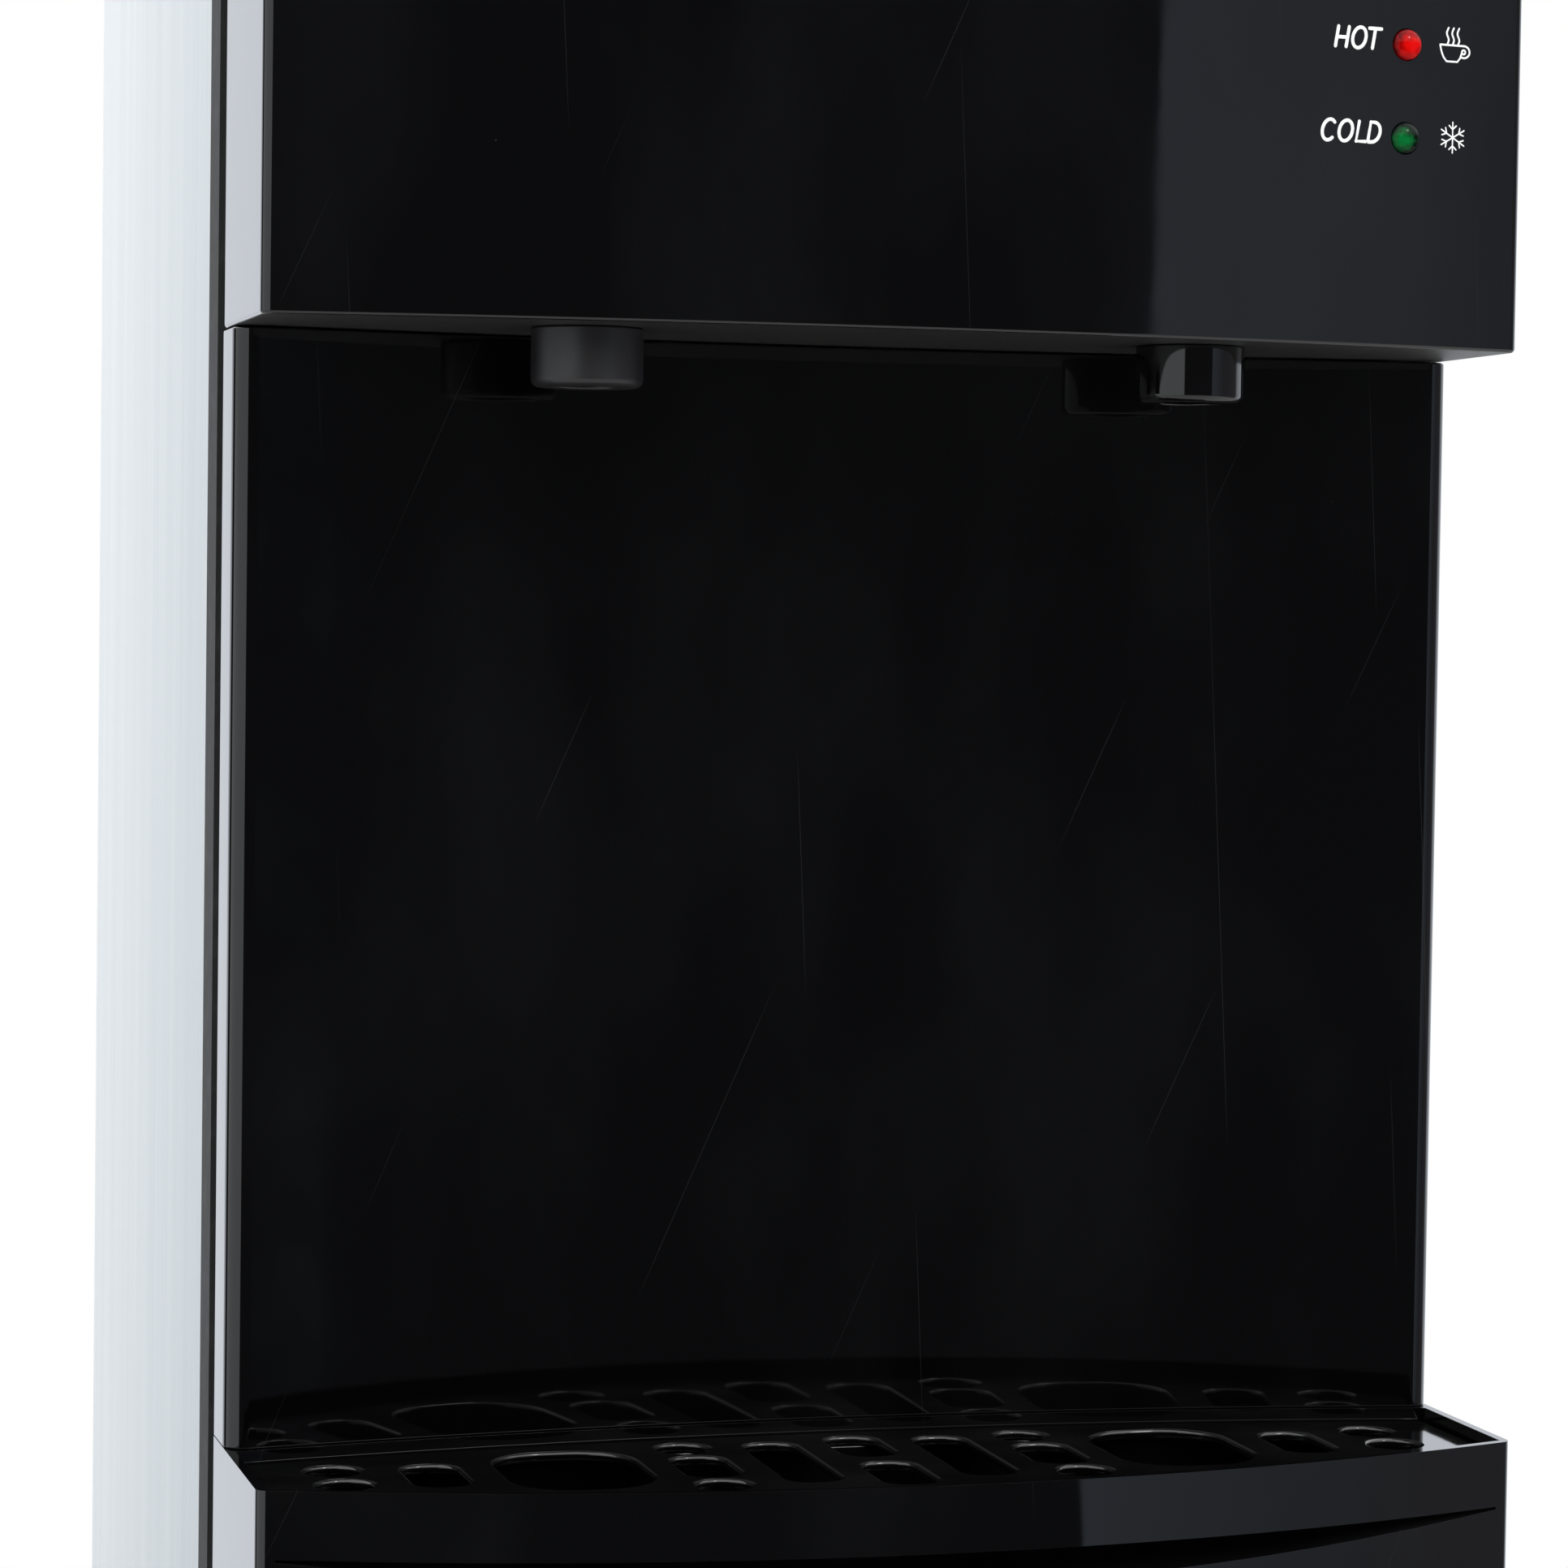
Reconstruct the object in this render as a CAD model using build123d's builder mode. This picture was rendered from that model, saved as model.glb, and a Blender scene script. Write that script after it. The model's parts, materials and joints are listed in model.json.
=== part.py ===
from build123d import *
import os
from math import atan, cos, radians, sin, sqrt, tan

os.makedirs("parts", exist_ok=True)

# Top-loading hot and cold water dispenser, in millimetres.
# X runs to the right seen from the front, Y to the rear, Z up from the floor.

# Overall shape of the moulded front
width = 310.0  # across the front
depth = 361.5  # from the bowed lower front to the rear edges of the side panels
lower_bow = 26.0  # how far the lower front bows out past its corners
head_setback = 8.5  # head corners behind the lower front's corners
head_bow = 14.5
alcove_depth = 39.5  # head corners to the alcove's side edges
alcove_hollow = 14.0  # how far the alcove panel curves in at its middle
head_side = 58.0  # length of the head's sides
strip_side = 60.0  # head corners to the rear edge of the alcove's and lower front's sides
deck_long = 74.0  # head corners to the rear edge of the button deck
panel_setback = 82.0  # head corners to the front edge of the steel side panels
front_corner = 3.0  # radius of the moulded front's upright corners
plastic_wall = 2.5

# Heights
foot_height = 14.0
front_gap = 6.0  # lower edge of the front above the base pan's underside
rim_z = 627.5  # rim of the drip tray's well
alcove_height = 267.5  # tray rim to the underside of the head
head_height = 118.0  # front face of the head
deck_rise = 17.0  # slope of the button deck
seat_rise = 10.0  # rim of the bottle seat above the top cover

# Cabinet
sheet = 0.8
base_sheet = 1.2
panel_inset = 1.6  # side panels inside the width of the front
groove = 8.3  # depth of the dark groove between the front and the side panels
post_wide = 16.0
post_deep = 28.0
flange = 12.0  # folded edges of the sheet metal
pan_lip = 20.0
cover_skirt = 16.0  # height of the top cover's sides
rear_recess = 23.0  # rear panel in front of the side panels' rear edges
rear_bay = 210.0  # lower edge of the rear panel above the floor
vent_long = 60.0
vent_high = 4.0
vent_pitch = 11.0
vent_rows = 8
fit = 0.3  # gap between pieces that seat on each other

# Head, buttons and valves
deck_thick = 3.0
spout_x = 75.5
spout_back = 16.0  # spout axis behind the head's corners
spout_r = 13.25
spout_drop = 14.0
outlet_r = 8.0
neck_r = 9.0
button_wide = 62.0
button_long = 44.0
button_back = 25.0  # button centre behind the head's corners
button_proud = 3.5
button_skirt = 16.0
button_gap = 0.5
press = 7.0  # travel of a button
valve_r = 15.0
valve_high = 52.0
plunger_r = 4.0
running = 0.08  # radial clearance of a sliding plunger
spring_r = 7.0
spring_wire = 0.7
spring_turns = 7
lock_wide = 16.0
lock_long = 11.0
lock_high = 6.6
lock_travel = 6.0
lamp_in = 33.3  # lamps in from the front's right side
lamp_r = 3.75
lamp_upper = 73.0  # red lamp above the head's underside
lamp_lower = 50.5
lamp_proud = 2.0
board_back = 8.0  # indicator board behind the face

# Drip tray, grille and finger scoop
rim_wall = 2.2
tray_gap = 0.4
grille_gap = 1.2  # clearance round the grille
grille_drop = 3.0  # grille below the rim
grille_thick = 2.4
tray_flange = 1.6
ledge = 13.0
rear_ledge = 5.0
tray_deep = 34.0
tray_wall = 1.8
slot_wide = 13.5
slot_step = 21.75  # from one slot of the grille to the next
end_hole = 23.5  # the grille's end holes in from the front's sides
round_hole = 13.5
spout_hole_wide = 34.5
spout_hole_long = 46.0
scoop_below = 15.8  # upper edge of the scoop below the rim
scoop_end = 4.0  # scoop's ends in from the front's sides
scoop_drop = 11.0
scoop_deep = 11.0
scoop_wall = 2.2
tray_lift = 60.0

# Bottle seat, probe and tanks
tank_ahead = 10.25  # tank's axis ahead of the middle of the top
foam = 25.0  # insulation round the cold tank
tank_high = 196.0
tank_wall = 1.0
tank_below = 50.0  # cold tank's rim below the top cover
seat_edge = 4.25  # seat's rim behind the front edge of the top cover
seat_lip = 12.0  # width of the seat's rim
socket_r = 31.0
socket_floor = 82.0  # socket's floor below the top cover
seat_wall = 2.5
skirt_gap = 7.5  # seat's skirt inside the cold tank
probe_r = 12.0
probe_bore = 9.0
insulation_side = 50.0  # insulation in from the sides of the front
insulation_ends = 151.5  # depth that the front and the rear take
insulation_floor = 19.0
insulation_corner = 30.0
coil_wire = 3.0
coil_pitch = 16.0
coil_turns = 7
coil_start = 46.0  # above the tank's bottom
hot_behind = 16.0  # hot tank's axis behind the cold tank's
hot_inset = 55.0  # hot tank inside the insulation
hot_high = 150.0
jacket = 16.0
hose_r = 6.0
hose_bore = 4.05
stub_r = 4.0
stub_bore = 2.8
leg_high = 18.0

# Refrigeration
compressor_x = -25.0
compressor_r = 60.0
compressor_high = 146.0
mount_x = 80.0
mount_y = 45.0
tube_r = 2.4
pass_half = 110.0
pass_pitch = 50.0
pass_count = 12
condenser_low = 290.0
wire_r = 0.8
wire_pitch = 12.5
wire_side = 8  # wires to each side of the middle one
drier_r = 9.0
drier_high = 70.0

# Rear fittings
drain_x = 70.0
drain_z = 228.0
cord_z = 232.0
cord_bore = 4.2
switch_in = 27.0  # switches in from the front's left side
cable_in = 55.0  # cables and cord in from the same side
switch_z = 912.0
switch_pitch = 26.0
rocker_wide = 13.0
rocker_r = 9.6
rocker_tilt = 10.0

# Places worked out from those sizes
half_width = width / 2
rear_y = depth / 2
lower_corner_y = lower_bow - depth / 2
head_corner_y = lower_corner_y + head_setback
alcove_edge_y = head_corner_y + alcove_depth
head_back_y = head_corner_y + head_side
strip_back_y = head_corner_y + strip_side
deck_back_y = head_corner_y + deck_long
panel_front_y = head_corner_y + panel_setback
head_z = rim_z + alcove_height
head_top_z = head_z + head_height
cover_z = head_top_z + deck_rise
seat_z = cover_z + seat_rise
pan_z = foot_height + base_sheet
inner_x = half_width - plastic_wall
panel_x = half_width - panel_inset
panel_in_x = panel_x - sheet
post_x = panel_x - groove
post_front_y = strip_back_y + fit
post_back_y = post_front_y + post_deep
post_top_z = cover_z - 30.0
rear_panel_y = rear_y - rear_recess
cover_edge = 2.0
cabinet_rear_y = rear_y - cover_edge - fit
tank_y = (deck_back_y + rear_y) / 2 - tank_ahead
seat_r = tank_y - deck_back_y - seat_edge
seat_hole = seat_r - seat_lip
insulation = min(width - 2 * insulation_side, depth - insulation_ends)
tank_r = insulation / 2 - foam
skirt_r = tank_r - skirt_gap
hot_y = tank_y + hot_behind
hot_r = insulation / 2 - hot_inset
jacket_r = hot_r + jacket
compressor_y = hot_y
service_y = rear_panel_y - 37.75  # front of what hangs behind the compressor
tank_top_z = cover_z - tank_below
tank_z = tank_top_z - tank_high
cold_shelf_z = tank_z - insulation_floor
shelf_front_y = post_back_y + fit
hot_top_z = cold_shelf_z - 40.0
hot_z = hot_top_z - hot_high
hot_shelf_z = hot_z - leg_high
spout_y = head_corner_y + spout_back
scoop_half = half_width - scoop_end
lamp_x = half_width - lamp_in
switch_x = switch_in - half_width
cable_x = cable_in - half_width
cord_x = cable_x
button_y = head_corner_y + button_back
valve_z = head_z + plastic_wall
face_y = head_corner_y - head_bow
deck_angle = atan(deck_rise / (deck_back_y - face_y))
stem_z = valve_z + valve_high + 40.0
condenser_y = rear_panel_y + 10.2
chimney_y = tank_y + insulation / 2 - 13.0
switch_rows = (switch_z + switch_pitch / 2, switch_z - switch_pitch / 2)


def save(piece, name):
    """Label a finished piece and write it under its name."""
    piece.part.label = name
    export_step(piece.part, f"parts/{name}.step")


def arc_radius(bow):
    """Radius of an arc across the front that bows out by this much."""
    return (half_width**2 + bow**2) / (2 * bow)


def bow_y(x, corner_y, bow, inset=0.0):
    """Y of a bowed front at x, moved in by a wall."""
    radius = arc_radius(bow)
    return corner_y - bow + radius - sqrt((radius - inset) ** 2 - x**2)


def hollow_y(x, inset=0.0):
    """Y of the alcove's hollow face at x, moved back by a wall."""
    radius = arc_radius(alcove_hollow)
    return alcove_edge_y + alcove_hollow - radius + sqrt((radius + inset) ** 2 - x**2)


def bowed_plan(corner_y, bow, back_y, inset=0.0):
    """Plan of a piece with a bowed front, straight sides and a straight back."""
    half = half_width - inset
    side_y = bow_y(half, corner_y, bow, inset)
    with BuildSketch(Plane.XY) as plan:
        with BuildLine():
            front = ThreePointArc((-half, side_y), (0, bow_y(0, corner_y, bow, inset)), (half, side_y))
            Polyline(front @ 1, (half, back_y), (-half, back_y), front @ 0)
        make_face()
    return plan.sketch


def tray_plan(inset, rear_inset):
    """Plan of the tray's well: bowed in front, hollow behind."""
    half = half_width - inset
    side_y = bow_y(half, lower_corner_y, lower_bow, inset)
    back_y = hollow_y(half, -rear_inset)
    with BuildSketch(Plane.XY) as plan:
        with BuildLine():
            middle_y = bow_y(0, lower_corner_y, lower_bow, inset)
            front = ThreePointArc((-half, side_y), (0, middle_y), (half, side_y))
            right = Line(front @ 1, (half, back_y))
            back = ThreePointArc(right @ 1, (0, hollow_y(0, -rear_inset)), (-half, back_y))
            Line(back @ 1, front @ 0)
        make_face()
    return plan.sketch


def tube(points, bend, radius, bore=0.0):
    """A pipe, hose or cable along straight runs joined by arcs."""
    with BuildPart() as run:
        with BuildLine() as path:
            FilletPolyline(*points, radius=bend)
        with BuildSketch(Plane(origin=path.line @ 0, z_dir=path.line % 0)):
            Circle(radius)
            if bore:
                Circle(bore, mode=Mode.SUBTRACT)
        sweep()
    return run


def coil(centre_x, centre_y, base_z, radius, wire, pitch, turns):
    """A wound tube or wire made of half-turn arcs, each climbing half a pitch."""
    with BuildPart() as winding:
        with BuildLine() as path:
            for half_turn in range(2 * turns):
                side = 1 if half_turn % 2 == 0 else -1
                z = base_z + half_turn * pitch / 2
                reach = sqrt(radius**2 + (pitch / 4) ** 2)
                ThreePointArc(
                    (centre_x + side * radius, centre_y, z),
                    (centre_x, centre_y + side * reach, z + pitch / 4),
                    (centre_x - side * radius, centre_y, z + pitch / 2),
                )
        with BuildSketch(Plane(origin=path.line @ 0, z_dir=path.line % 0)):
            Circle(wire)
        sweep()
    print(f"coil of {turns} turns: least gap between turns {pitch - 2 * wire:.2f} mm")
    return winding


def deck_plane(drop):
    """The button deck's sloping top plane, lowered by this much."""
    return Plane(
        origin=(0, face_y, head_top_z - drop),
        x_dir=(1, 0, 0),
        z_dir=(0, -sin(deck_angle), cos(deck_angle)),
    )


def deck_z(y):
    """Height of the deck's top at y."""
    return head_top_z + (y - face_y) * tan(deck_angle)


def slot_places():
    """Every opening of the grille: x, distance behind the head's corners, kind."""
    half = [
        (0.0, spout_back + 16.0, "slot", 26.0),
        (0.0, spout_back - 18.0, "slot", 28.0),
        (slot_step, spout_back, "slot", 50.0),
        (2 * slot_step, spout_back - 1.5, "slot", 26.0),
        (2 * slot_step, spout_back + 21.5, "round", 0.0),
        (2 * slot_step + 1.2, spout_back - 24.0, "round", 0.0),
        (spout_x, spout_back, "spout", 0.0),
        (spout_x + spout_hole_wide / 2 + slot_wide + 2.5, spout_back, "slot", 27.0),
        (half_width - end_hole, spout_back + 10.0, "round", 0.0),
        (half_width - end_hole, spout_back - 7.0, "round", 0.0),
    ]
    return half + [(-x, back, kind, long) for x, back, kind, long in half if x > 0]


# Base pan, feet and front posts
with BuildPart() as base_pan:
    pan_front_y = lower_corner_y + 8.0
    pan_half = panel_in_x - fit
    pan_back_y = cabinet_rear_y - sheet - fit
    pan_centre = (0, (pan_front_y + pan_back_y) / 2)
    with BuildSketch(Plane.XY.offset(foot_height)):
        with Locations(pan_centre):
            Rectangle(2 * pan_half, pan_back_y - pan_front_y)
    extrude(amount=pan_lip)
    with BuildSketch(Plane.XY.offset(pan_z)):
        with Locations(pan_centre):
            Rectangle(2 * (pan_half - base_sheet), pan_back_y - pan_front_y - 2 * base_sheet)
    extrude(amount=pan_lip, mode=Mode.SUBTRACT)
    foot_x = pan_half - 26.0
    foot_places = [
        (-foot_x, pan_front_y + 22.0),
        (foot_x, pan_front_y + 22.0),
        (-foot_x, pan_back_y - 26.0),
        (foot_x, pan_back_y - 26.0),
    ]
    foot_stem = 4.0
    with Locations(*[(x, y, pan_z) for x, y in foot_places]):
        Hole(foot_stem + 0.1)
    mount_places = [
        (compressor_x + side * mount_x, compressor_y + end * mount_y) for side in (-1, 1) for end in (-1, 1)
    ]
    bolt_r = 3.0
    with Locations(*[(x, y, pan_z) for x, y in mount_places]):
        Hole(bolt_r + 0.1)
save(base_pan, "base_pan")

with BuildPart() as feet:
    for x, y in foot_places:
        with BuildSketch(Plane(origin=(x, y, 0), x_dir=(1, 0, 0), z_dir=(0, -1, 0))):
            Polygon(
                (0, 0), (13, 0), (15, 2), (16, foot_height), (foot_stem, foot_height),
                (foot_stem, pan_z), (6.5, pan_z), (5, pan_z + 3), (0, pan_z + 3), align=None,
            )
        revolve(axis=Axis((x, y, 0), (0, 0, 1)))
save(feet, "feet")

with BuildPart() as front_posts:
    for side in (-1, 1):
        centre_x = side * (post_x - post_wide / 2)
        with BuildSketch(Plane.XY.offset(pan_z)):
            with Locations((centre_x, post_front_y + post_deep / 2)):
                Rectangle(post_wide, post_deep)
                Rectangle(post_wide - 3, post_deep - 3, mode=Mode.SUBTRACT)
        extrude(amount=post_top_z - pan_z)
        with BuildSketch(Plane.XY.offset(head_z)):
            with Locations((centre_x, (head_back_y + fit + post_front_y) / 2)):
                Rectangle(post_wide, post_front_y - head_back_y - fit)
        extrude(amount=post_top_z - head_z)
save(front_posts, "front_posts")

# Steel cabinet
panel_low_z = foot_height + 2.0
panel_top_z = cover_z - 5.0
for side, name in ((-1, "left_side_panel"), (1, "right_side_panel")):
    with BuildPart() as side_panel:
        with BuildSketch(Plane.XY.offset(panel_low_z)):
            with BuildLine():
                outer = side * panel_x
                inner = side * panel_in_x
                front_in = side * (post_x + fit)
                rear_in = side * (panel_x - flange)
                Polyline(
                    (front_in, panel_front_y), (outer, panel_front_y), (outer, cabinet_rear_y),
                    (rear_in, cabinet_rear_y), (rear_in, cabinet_rear_y - sheet), (inner, cabinet_rear_y - sheet),
                    (inner, panel_front_y + sheet),
                    (front_in, panel_front_y + sheet), close=True,
                )
            make_face()
        extrude(amount=panel_top_z - panel_low_z)
        # notch in the front flange, over the base pan's lip
        with Locations((side * (post_x + fit), panel_front_y, panel_low_z)):
            Box(2 * (panel_in_x - post_x - fit), 4 * sheet, 2 * (pan_lip - 1.5), mode=Mode.SUBTRACT)
    save(side_panel, name)

rear_half = panel_in_x - fit
rear_top_z = cover_z - 5.0
bezel_wide = 28.0
bezel_high = 62.0
with BuildPart() as rear_panel:
    with BuildSketch(Plane.XY.offset(rear_bay)):
        with BuildLine():
            back = cabinet_rear_y - sheet - fit
            Polyline(
                (-rear_half, back), (-rear_half, rear_panel_y - sheet), (rear_half, rear_panel_y - sheet),
                (rear_half, back), (rear_half - sheet, back), (rear_half - sheet, rear_panel_y),
                (sheet - rear_half, rear_panel_y), (sheet - rear_half, back), close=True,
            )
        make_face()
    extrude(amount=rear_top_z - rear_bay)
    # standoffs that carry the condenser's wires
    stand_x = wire_side * wire_pitch
    stand_low_z = condenser_low + pass_pitch / 2
    stand_high_z = condenser_low + (pass_count - 1.5) * pass_pitch
    stand_y = condenser_y - tube_r - 2 * wire_r - 0.1
    for x in (-stand_x, stand_x):
        for z in (stand_low_z, stand_high_z):
            with Locations((x, (rear_panel_y + stand_y) / 2, z)):
                Box(10, stand_y - rear_panel_y, 12)
    # cooling slots above the condenser
    for row in range(vent_rows):
        for x in (half_width - 45.0 - column * width / 4 for column in range(3)):
            z = rear_top_z - 44.0 - row * vent_pitch
            with Locations((x, rear_panel_y - sheet / 2, z)):
                Box(vent_long, 4 * sheet, vent_high, mode=Mode.SUBTRACT)
    with Locations((switch_x, rear_panel_y - sheet / 2, switch_z)):
        Box(bezel_wide - 5, 4 * sheet, bezel_high - 5, mode=Mode.SUBTRACT)
    for x, z, radius in ((drain_x, drain_z, 9.2), (cord_x, cord_z, 9.7)):
        with Locations((x, rear_panel_y - sheet / 2, z)):
            Cylinder(radius, 4 * sheet, rotation=(90, 0, 0), mode=Mode.SUBTRACT)
    screw_places = [(x, z) for x in (-60.0, 60.0) for z in (cold_shelf_z - 7.5, hot_shelf_z - 7.5)]
    screw_hole = 1.7
    for x, z in screw_places:
        with Locations((x, rear_panel_y - sheet / 2, z)):
            Cylinder(screw_hole, 4 * sheet, rotation=(90, 0, 0), mode=Mode.SUBTRACT)
save(rear_panel, "rear_panel")

# Shelves for the cold tank and the hot tank, with openings for pipes and cables
shelf_half = panel_in_x - fit
shelf_back_y = rear_panel_y - sheet
shelf_fold = 15.0
with BuildPart() as tank_shelves:
    shelf_mid = (0, (shelf_front_y + shelf_back_y) / 2)
    shelf_long = shelf_back_y - shelf_front_y
    for top_z, port_y in ((cold_shelf_z, tank_y), (hot_shelf_z, hot_y)):
        with BuildSketch(Plane.XY.offset(top_z - shelf_fold)):
            with Locations(shelf_mid):
                Rectangle(2 * shelf_half, shelf_long)
        extrude(amount=shelf_fold)
        with BuildSketch(Plane.XY.offset(top_z - shelf_fold)):
            with Locations((0, shelf_mid[1] - sheet)):
                Rectangle(2 * (shelf_half - sheet), shelf_long)
        extrude(amount=shelf_fold - sheet, mode=Mode.SUBTRACT)
        with Locations((0, port_y, top_z)):
            Hole(stub_r + 3.0, depth=2 * sheet)
        with Locations((0, chimney_y, top_z)):
            Box(40, 24, 4 * sheet, mode=Mode.SUBTRACT)
        with Locations((cable_x - 6.0, chimney_y + 4.0, top_z)):
            Box(60, 16, 4 * sheet, mode=Mode.SUBTRACT)
    for x, z in screw_places:
        with Locations((x, shelf_back_y, z)):
            Cylinder(screw_hole, 4 * sheet, rotation=(90, 0, 0), mode=Mode.SUBTRACT)
save(tank_shelves, "tank_shelves")


# Moulded front: lower panel with its tray well and finger scoop
def scoop_section(share, ahead, grow):
    """Section of the scoop at a share of its half length."""
    fullness = max(0.0, 1 - share**2)
    deep = 1.0 + (scoop_deep - 1.0) * fullness + grow
    drop = 1.5 + (scoop_drop - 1.5) * fullness + grow
    face = bow_y(share * scoop_half, lower_corner_y, lower_bow)
    top = rim_z - scoop_below + grow
    low = rim_z - scoop_below - drop
    with BuildSketch(Plane.XY) as section:
        with BuildLine():
            Polyline((face + ahead, low), (face + ahead, top), (face + deep, top))
            Bezier(
                (face + deep, top), (face + deep, top - 0.55 * drop),
                (face + ahead, low + 0.45 * drop), (face + ahead, low),
            )
        make_face()
    return section.sketch


def scoop(ahead, grow):
    """The long thin scoop as a solid: a cutter, or with grow the wall behind it."""
    with BuildPart() as body:
        steps = 4
        for step in range(-steps, steps + 1):
            share = 0.998 * step / steps
            with BuildSketch(Plane(origin=(share * scoop_half, 0, 0), x_dir=(0, 1, 0), z_dir=(1, 0, 0))):
                add(scoop_section(share, ahead, grow))
        loft()
    return body.part


ledge_z = rim_z - grille_drop - grille_thick - tray_flange
flange_in = half_width - 20.0
with BuildPart() as lower_front_panel:
    front_low_z = foot_height + front_gap
    with BuildSketch(Plane.XY.offset(front_low_z)) as plan:
        add(bowed_plan(lower_corner_y, lower_bow, strip_back_y))
        fillet(plan.vertices().group_by(Axis.Y)[0], front_corner)
    extrude(amount=rim_z - front_low_z)
    with BuildSketch(Plane.XY.offset(front_low_z)):
        add(bowed_plan(lower_corner_y, lower_bow, strip_back_y - plastic_wall, plastic_wall))
        with Locations((0, strip_back_y)):
            Rectangle(2 * flange_in, 4 * plastic_wall)
    extrude(amount=ledge_z - front_low_z, mode=Mode.SUBTRACT)
    with Locations((0, strip_back_y, front_low_z)):
        Box(2 * inner_x, 4 * plastic_wall, 2 * (pan_lip - 5.5), mode=Mode.SUBTRACT)
    with BuildSketch(Plane.XY.offset(ledge_z)):
        add(tray_plan(rim_wall, 1.5))
    extrude(amount=rim_z - ledge_z, mode=Mode.SUBTRACT)
    add(scoop(1.0, scoop_wall))
    add(scoop(-2.0, 0.0), mode=Mode.SUBTRACT)
save(lower_front_panel, "lower_front_panel")

with BuildPart() as tray_ledge:
    with BuildSketch(Plane.XY.offset(ledge_z - plastic_wall)):
        add(bowed_plan(lower_corner_y, lower_bow, strip_back_y - plastic_wall, plastic_wall))
        add(tray_plan(rim_wall + ledge, rear_ledge + 1.5), mode=Mode.SUBTRACT)
    extrude(amount=plastic_wall)
save(tray_ledge, "tray_ledge")

with BuildPart() as drip_tray:
    basin_inset = rim_wall + ledge + 0.6
    basin_rear = rear_ledge + 2.1
    basin_z = rim_z - tray_deep
    with BuildSketch(Plane.XY.offset(ledge_z)):
        add(tray_plan(rim_wall + tray_gap, 1.5 + tray_gap))
    extrude(amount=tray_flange)
    with BuildSketch(Plane.XY.offset(basin_z)):
        add(tray_plan(basin_inset, basin_rear))
    extrude(amount=ledge_z - basin_z + 0.1)
    with BuildSketch(Plane.XY.offset(basin_z + tray_wall)):
        add(tray_plan(basin_inset + tray_wall, basin_rear + tray_wall))
    extrude(amount=tray_deep, mode=Mode.SUBTRACT)
save(drip_tray, "drip_tray")

with BuildPart() as drip_grille:
    with BuildSketch(Plane.XY.offset(ledge_z + tray_flange)) as grille_plan:
        add(tray_plan(rim_wall + grille_gap, 1.5 + grille_gap))
        for x, back, kind, long in slot_places():
            with Locations((x, head_corner_y + back)):
                if kind == "slot":
                    RectangleRounded(slot_wide, long, slot_wide / 2 - 1.0, mode=Mode.SUBTRACT)
                elif kind == "round":
                    Circle(round_hole / 2, mode=Mode.SUBTRACT)
                else:
                    RectangleRounded(spout_hole_wide, spout_hole_long, 14.0, mode=Mode.SUBTRACT)
    extrude(amount=grille_thick)
save(drip_grille, "drip_grille")

alcove_low_z = rim_z
alcove_top_z = head_z - 0.4
alcove_corner = 5.0
with BuildPart() as alcove_panel:
    with BuildSketch(Plane.XY.offset(alcove_low_z)) as plan:
        with BuildLine():
            face = ThreePointArc((-half_width, alcove_edge_y), (0, hollow_y(0)), (half_width, alcove_edge_y))
            Polyline(face @ 1, (half_width, strip_back_y), (-half_width, strip_back_y), face @ 0)
        make_face()
        fillet(plan.vertices().group_by(Axis.Y)[0], alcove_corner)
    extrude(amount=alcove_top_z - alcove_low_z)
    with BuildSketch(Plane.XY.offset(alcove_low_z)) as plan:
        with BuildLine():
            inner_y = hollow_y(inner_x, plastic_wall)
            face = ThreePointArc((-inner_x, inner_y), (0, hollow_y(0, plastic_wall)), (inner_x, inner_y))
            Polyline(
                face @ 1, (inner_x, strip_back_y - plastic_wall), (-inner_x, strip_back_y - plastic_wall), face @ 0
            )
        make_face()
        fillet(plan.vertices().group_by(Axis.Y)[0], alcove_corner - plastic_wall)
        with Locations((0, strip_back_y)):
            Rectangle(2 * flange_in, 4 * plastic_wall)
    extrude(amount=alcove_top_z - alcove_low_z, mode=Mode.SUBTRACT)
save(alcove_panel, "alcove_panel")

# Head: shell, deck, buttons, valves and spouts
with BuildPart() as head_shell:
    with BuildSketch(Plane.XY.offset(head_z)) as plan:
        add(bowed_plan(head_corner_y, head_bow, head_back_y))
        fillet(plan.vertices().group_by(Axis.Y)[0], front_corner)
    extrude(amount=2 * head_height)
    fillet(head_shell.edges().group_by(Axis.Z)[0].sort_by(Axis.Y)[:-1], 1.0)
    with BuildSketch(Plane.XY.offset(valve_z)):
        add(bowed_plan(head_corner_y, head_bow, head_back_y - plastic_wall, plastic_wall))
        with Locations((0, head_back_y)):
            Rectangle(2 * flange_in, 4 * plastic_wall)
    extrude(amount=2 * head_height, mode=Mode.SUBTRACT)
    split(bisect_by=deck_plane(deck_thick), keep=Keep.BOTTOM)
    with Locations((-spout_x, spout_y, head_z), (spout_x, spout_y, head_z)):
        Cylinder(neck_r + fit, 4 * plastic_wall, mode=Mode.SUBTRACT)
    lamp_face_y = bow_y(lamp_x, head_corner_y, head_bow)
    board_y = lamp_face_y + plastic_wall + board_back
    for up in (lamp_upper, lamp_lower):
        with Locations((lamp_x, lamp_face_y, head_z + up)):
            Cylinder(lamp_r + 0.2, 6 * plastic_wall, rotation=(90, 0, 0), mode=Mode.SUBTRACT)
    peg_z = head_z + (lamp_upper + lamp_lower) / 2
    for x in (lamp_x - 9.5, lamp_x + 9.5):
        peg_front = bow_y(x, head_corner_y, head_bow, plastic_wall) - 1.0
        with Locations((x, (peg_front + board_y) / 2, peg_z)):
            Cylinder(2.5, board_y - peg_front, rotation=(90, 0, 0))
save(head_shell, "head_shell")

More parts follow.
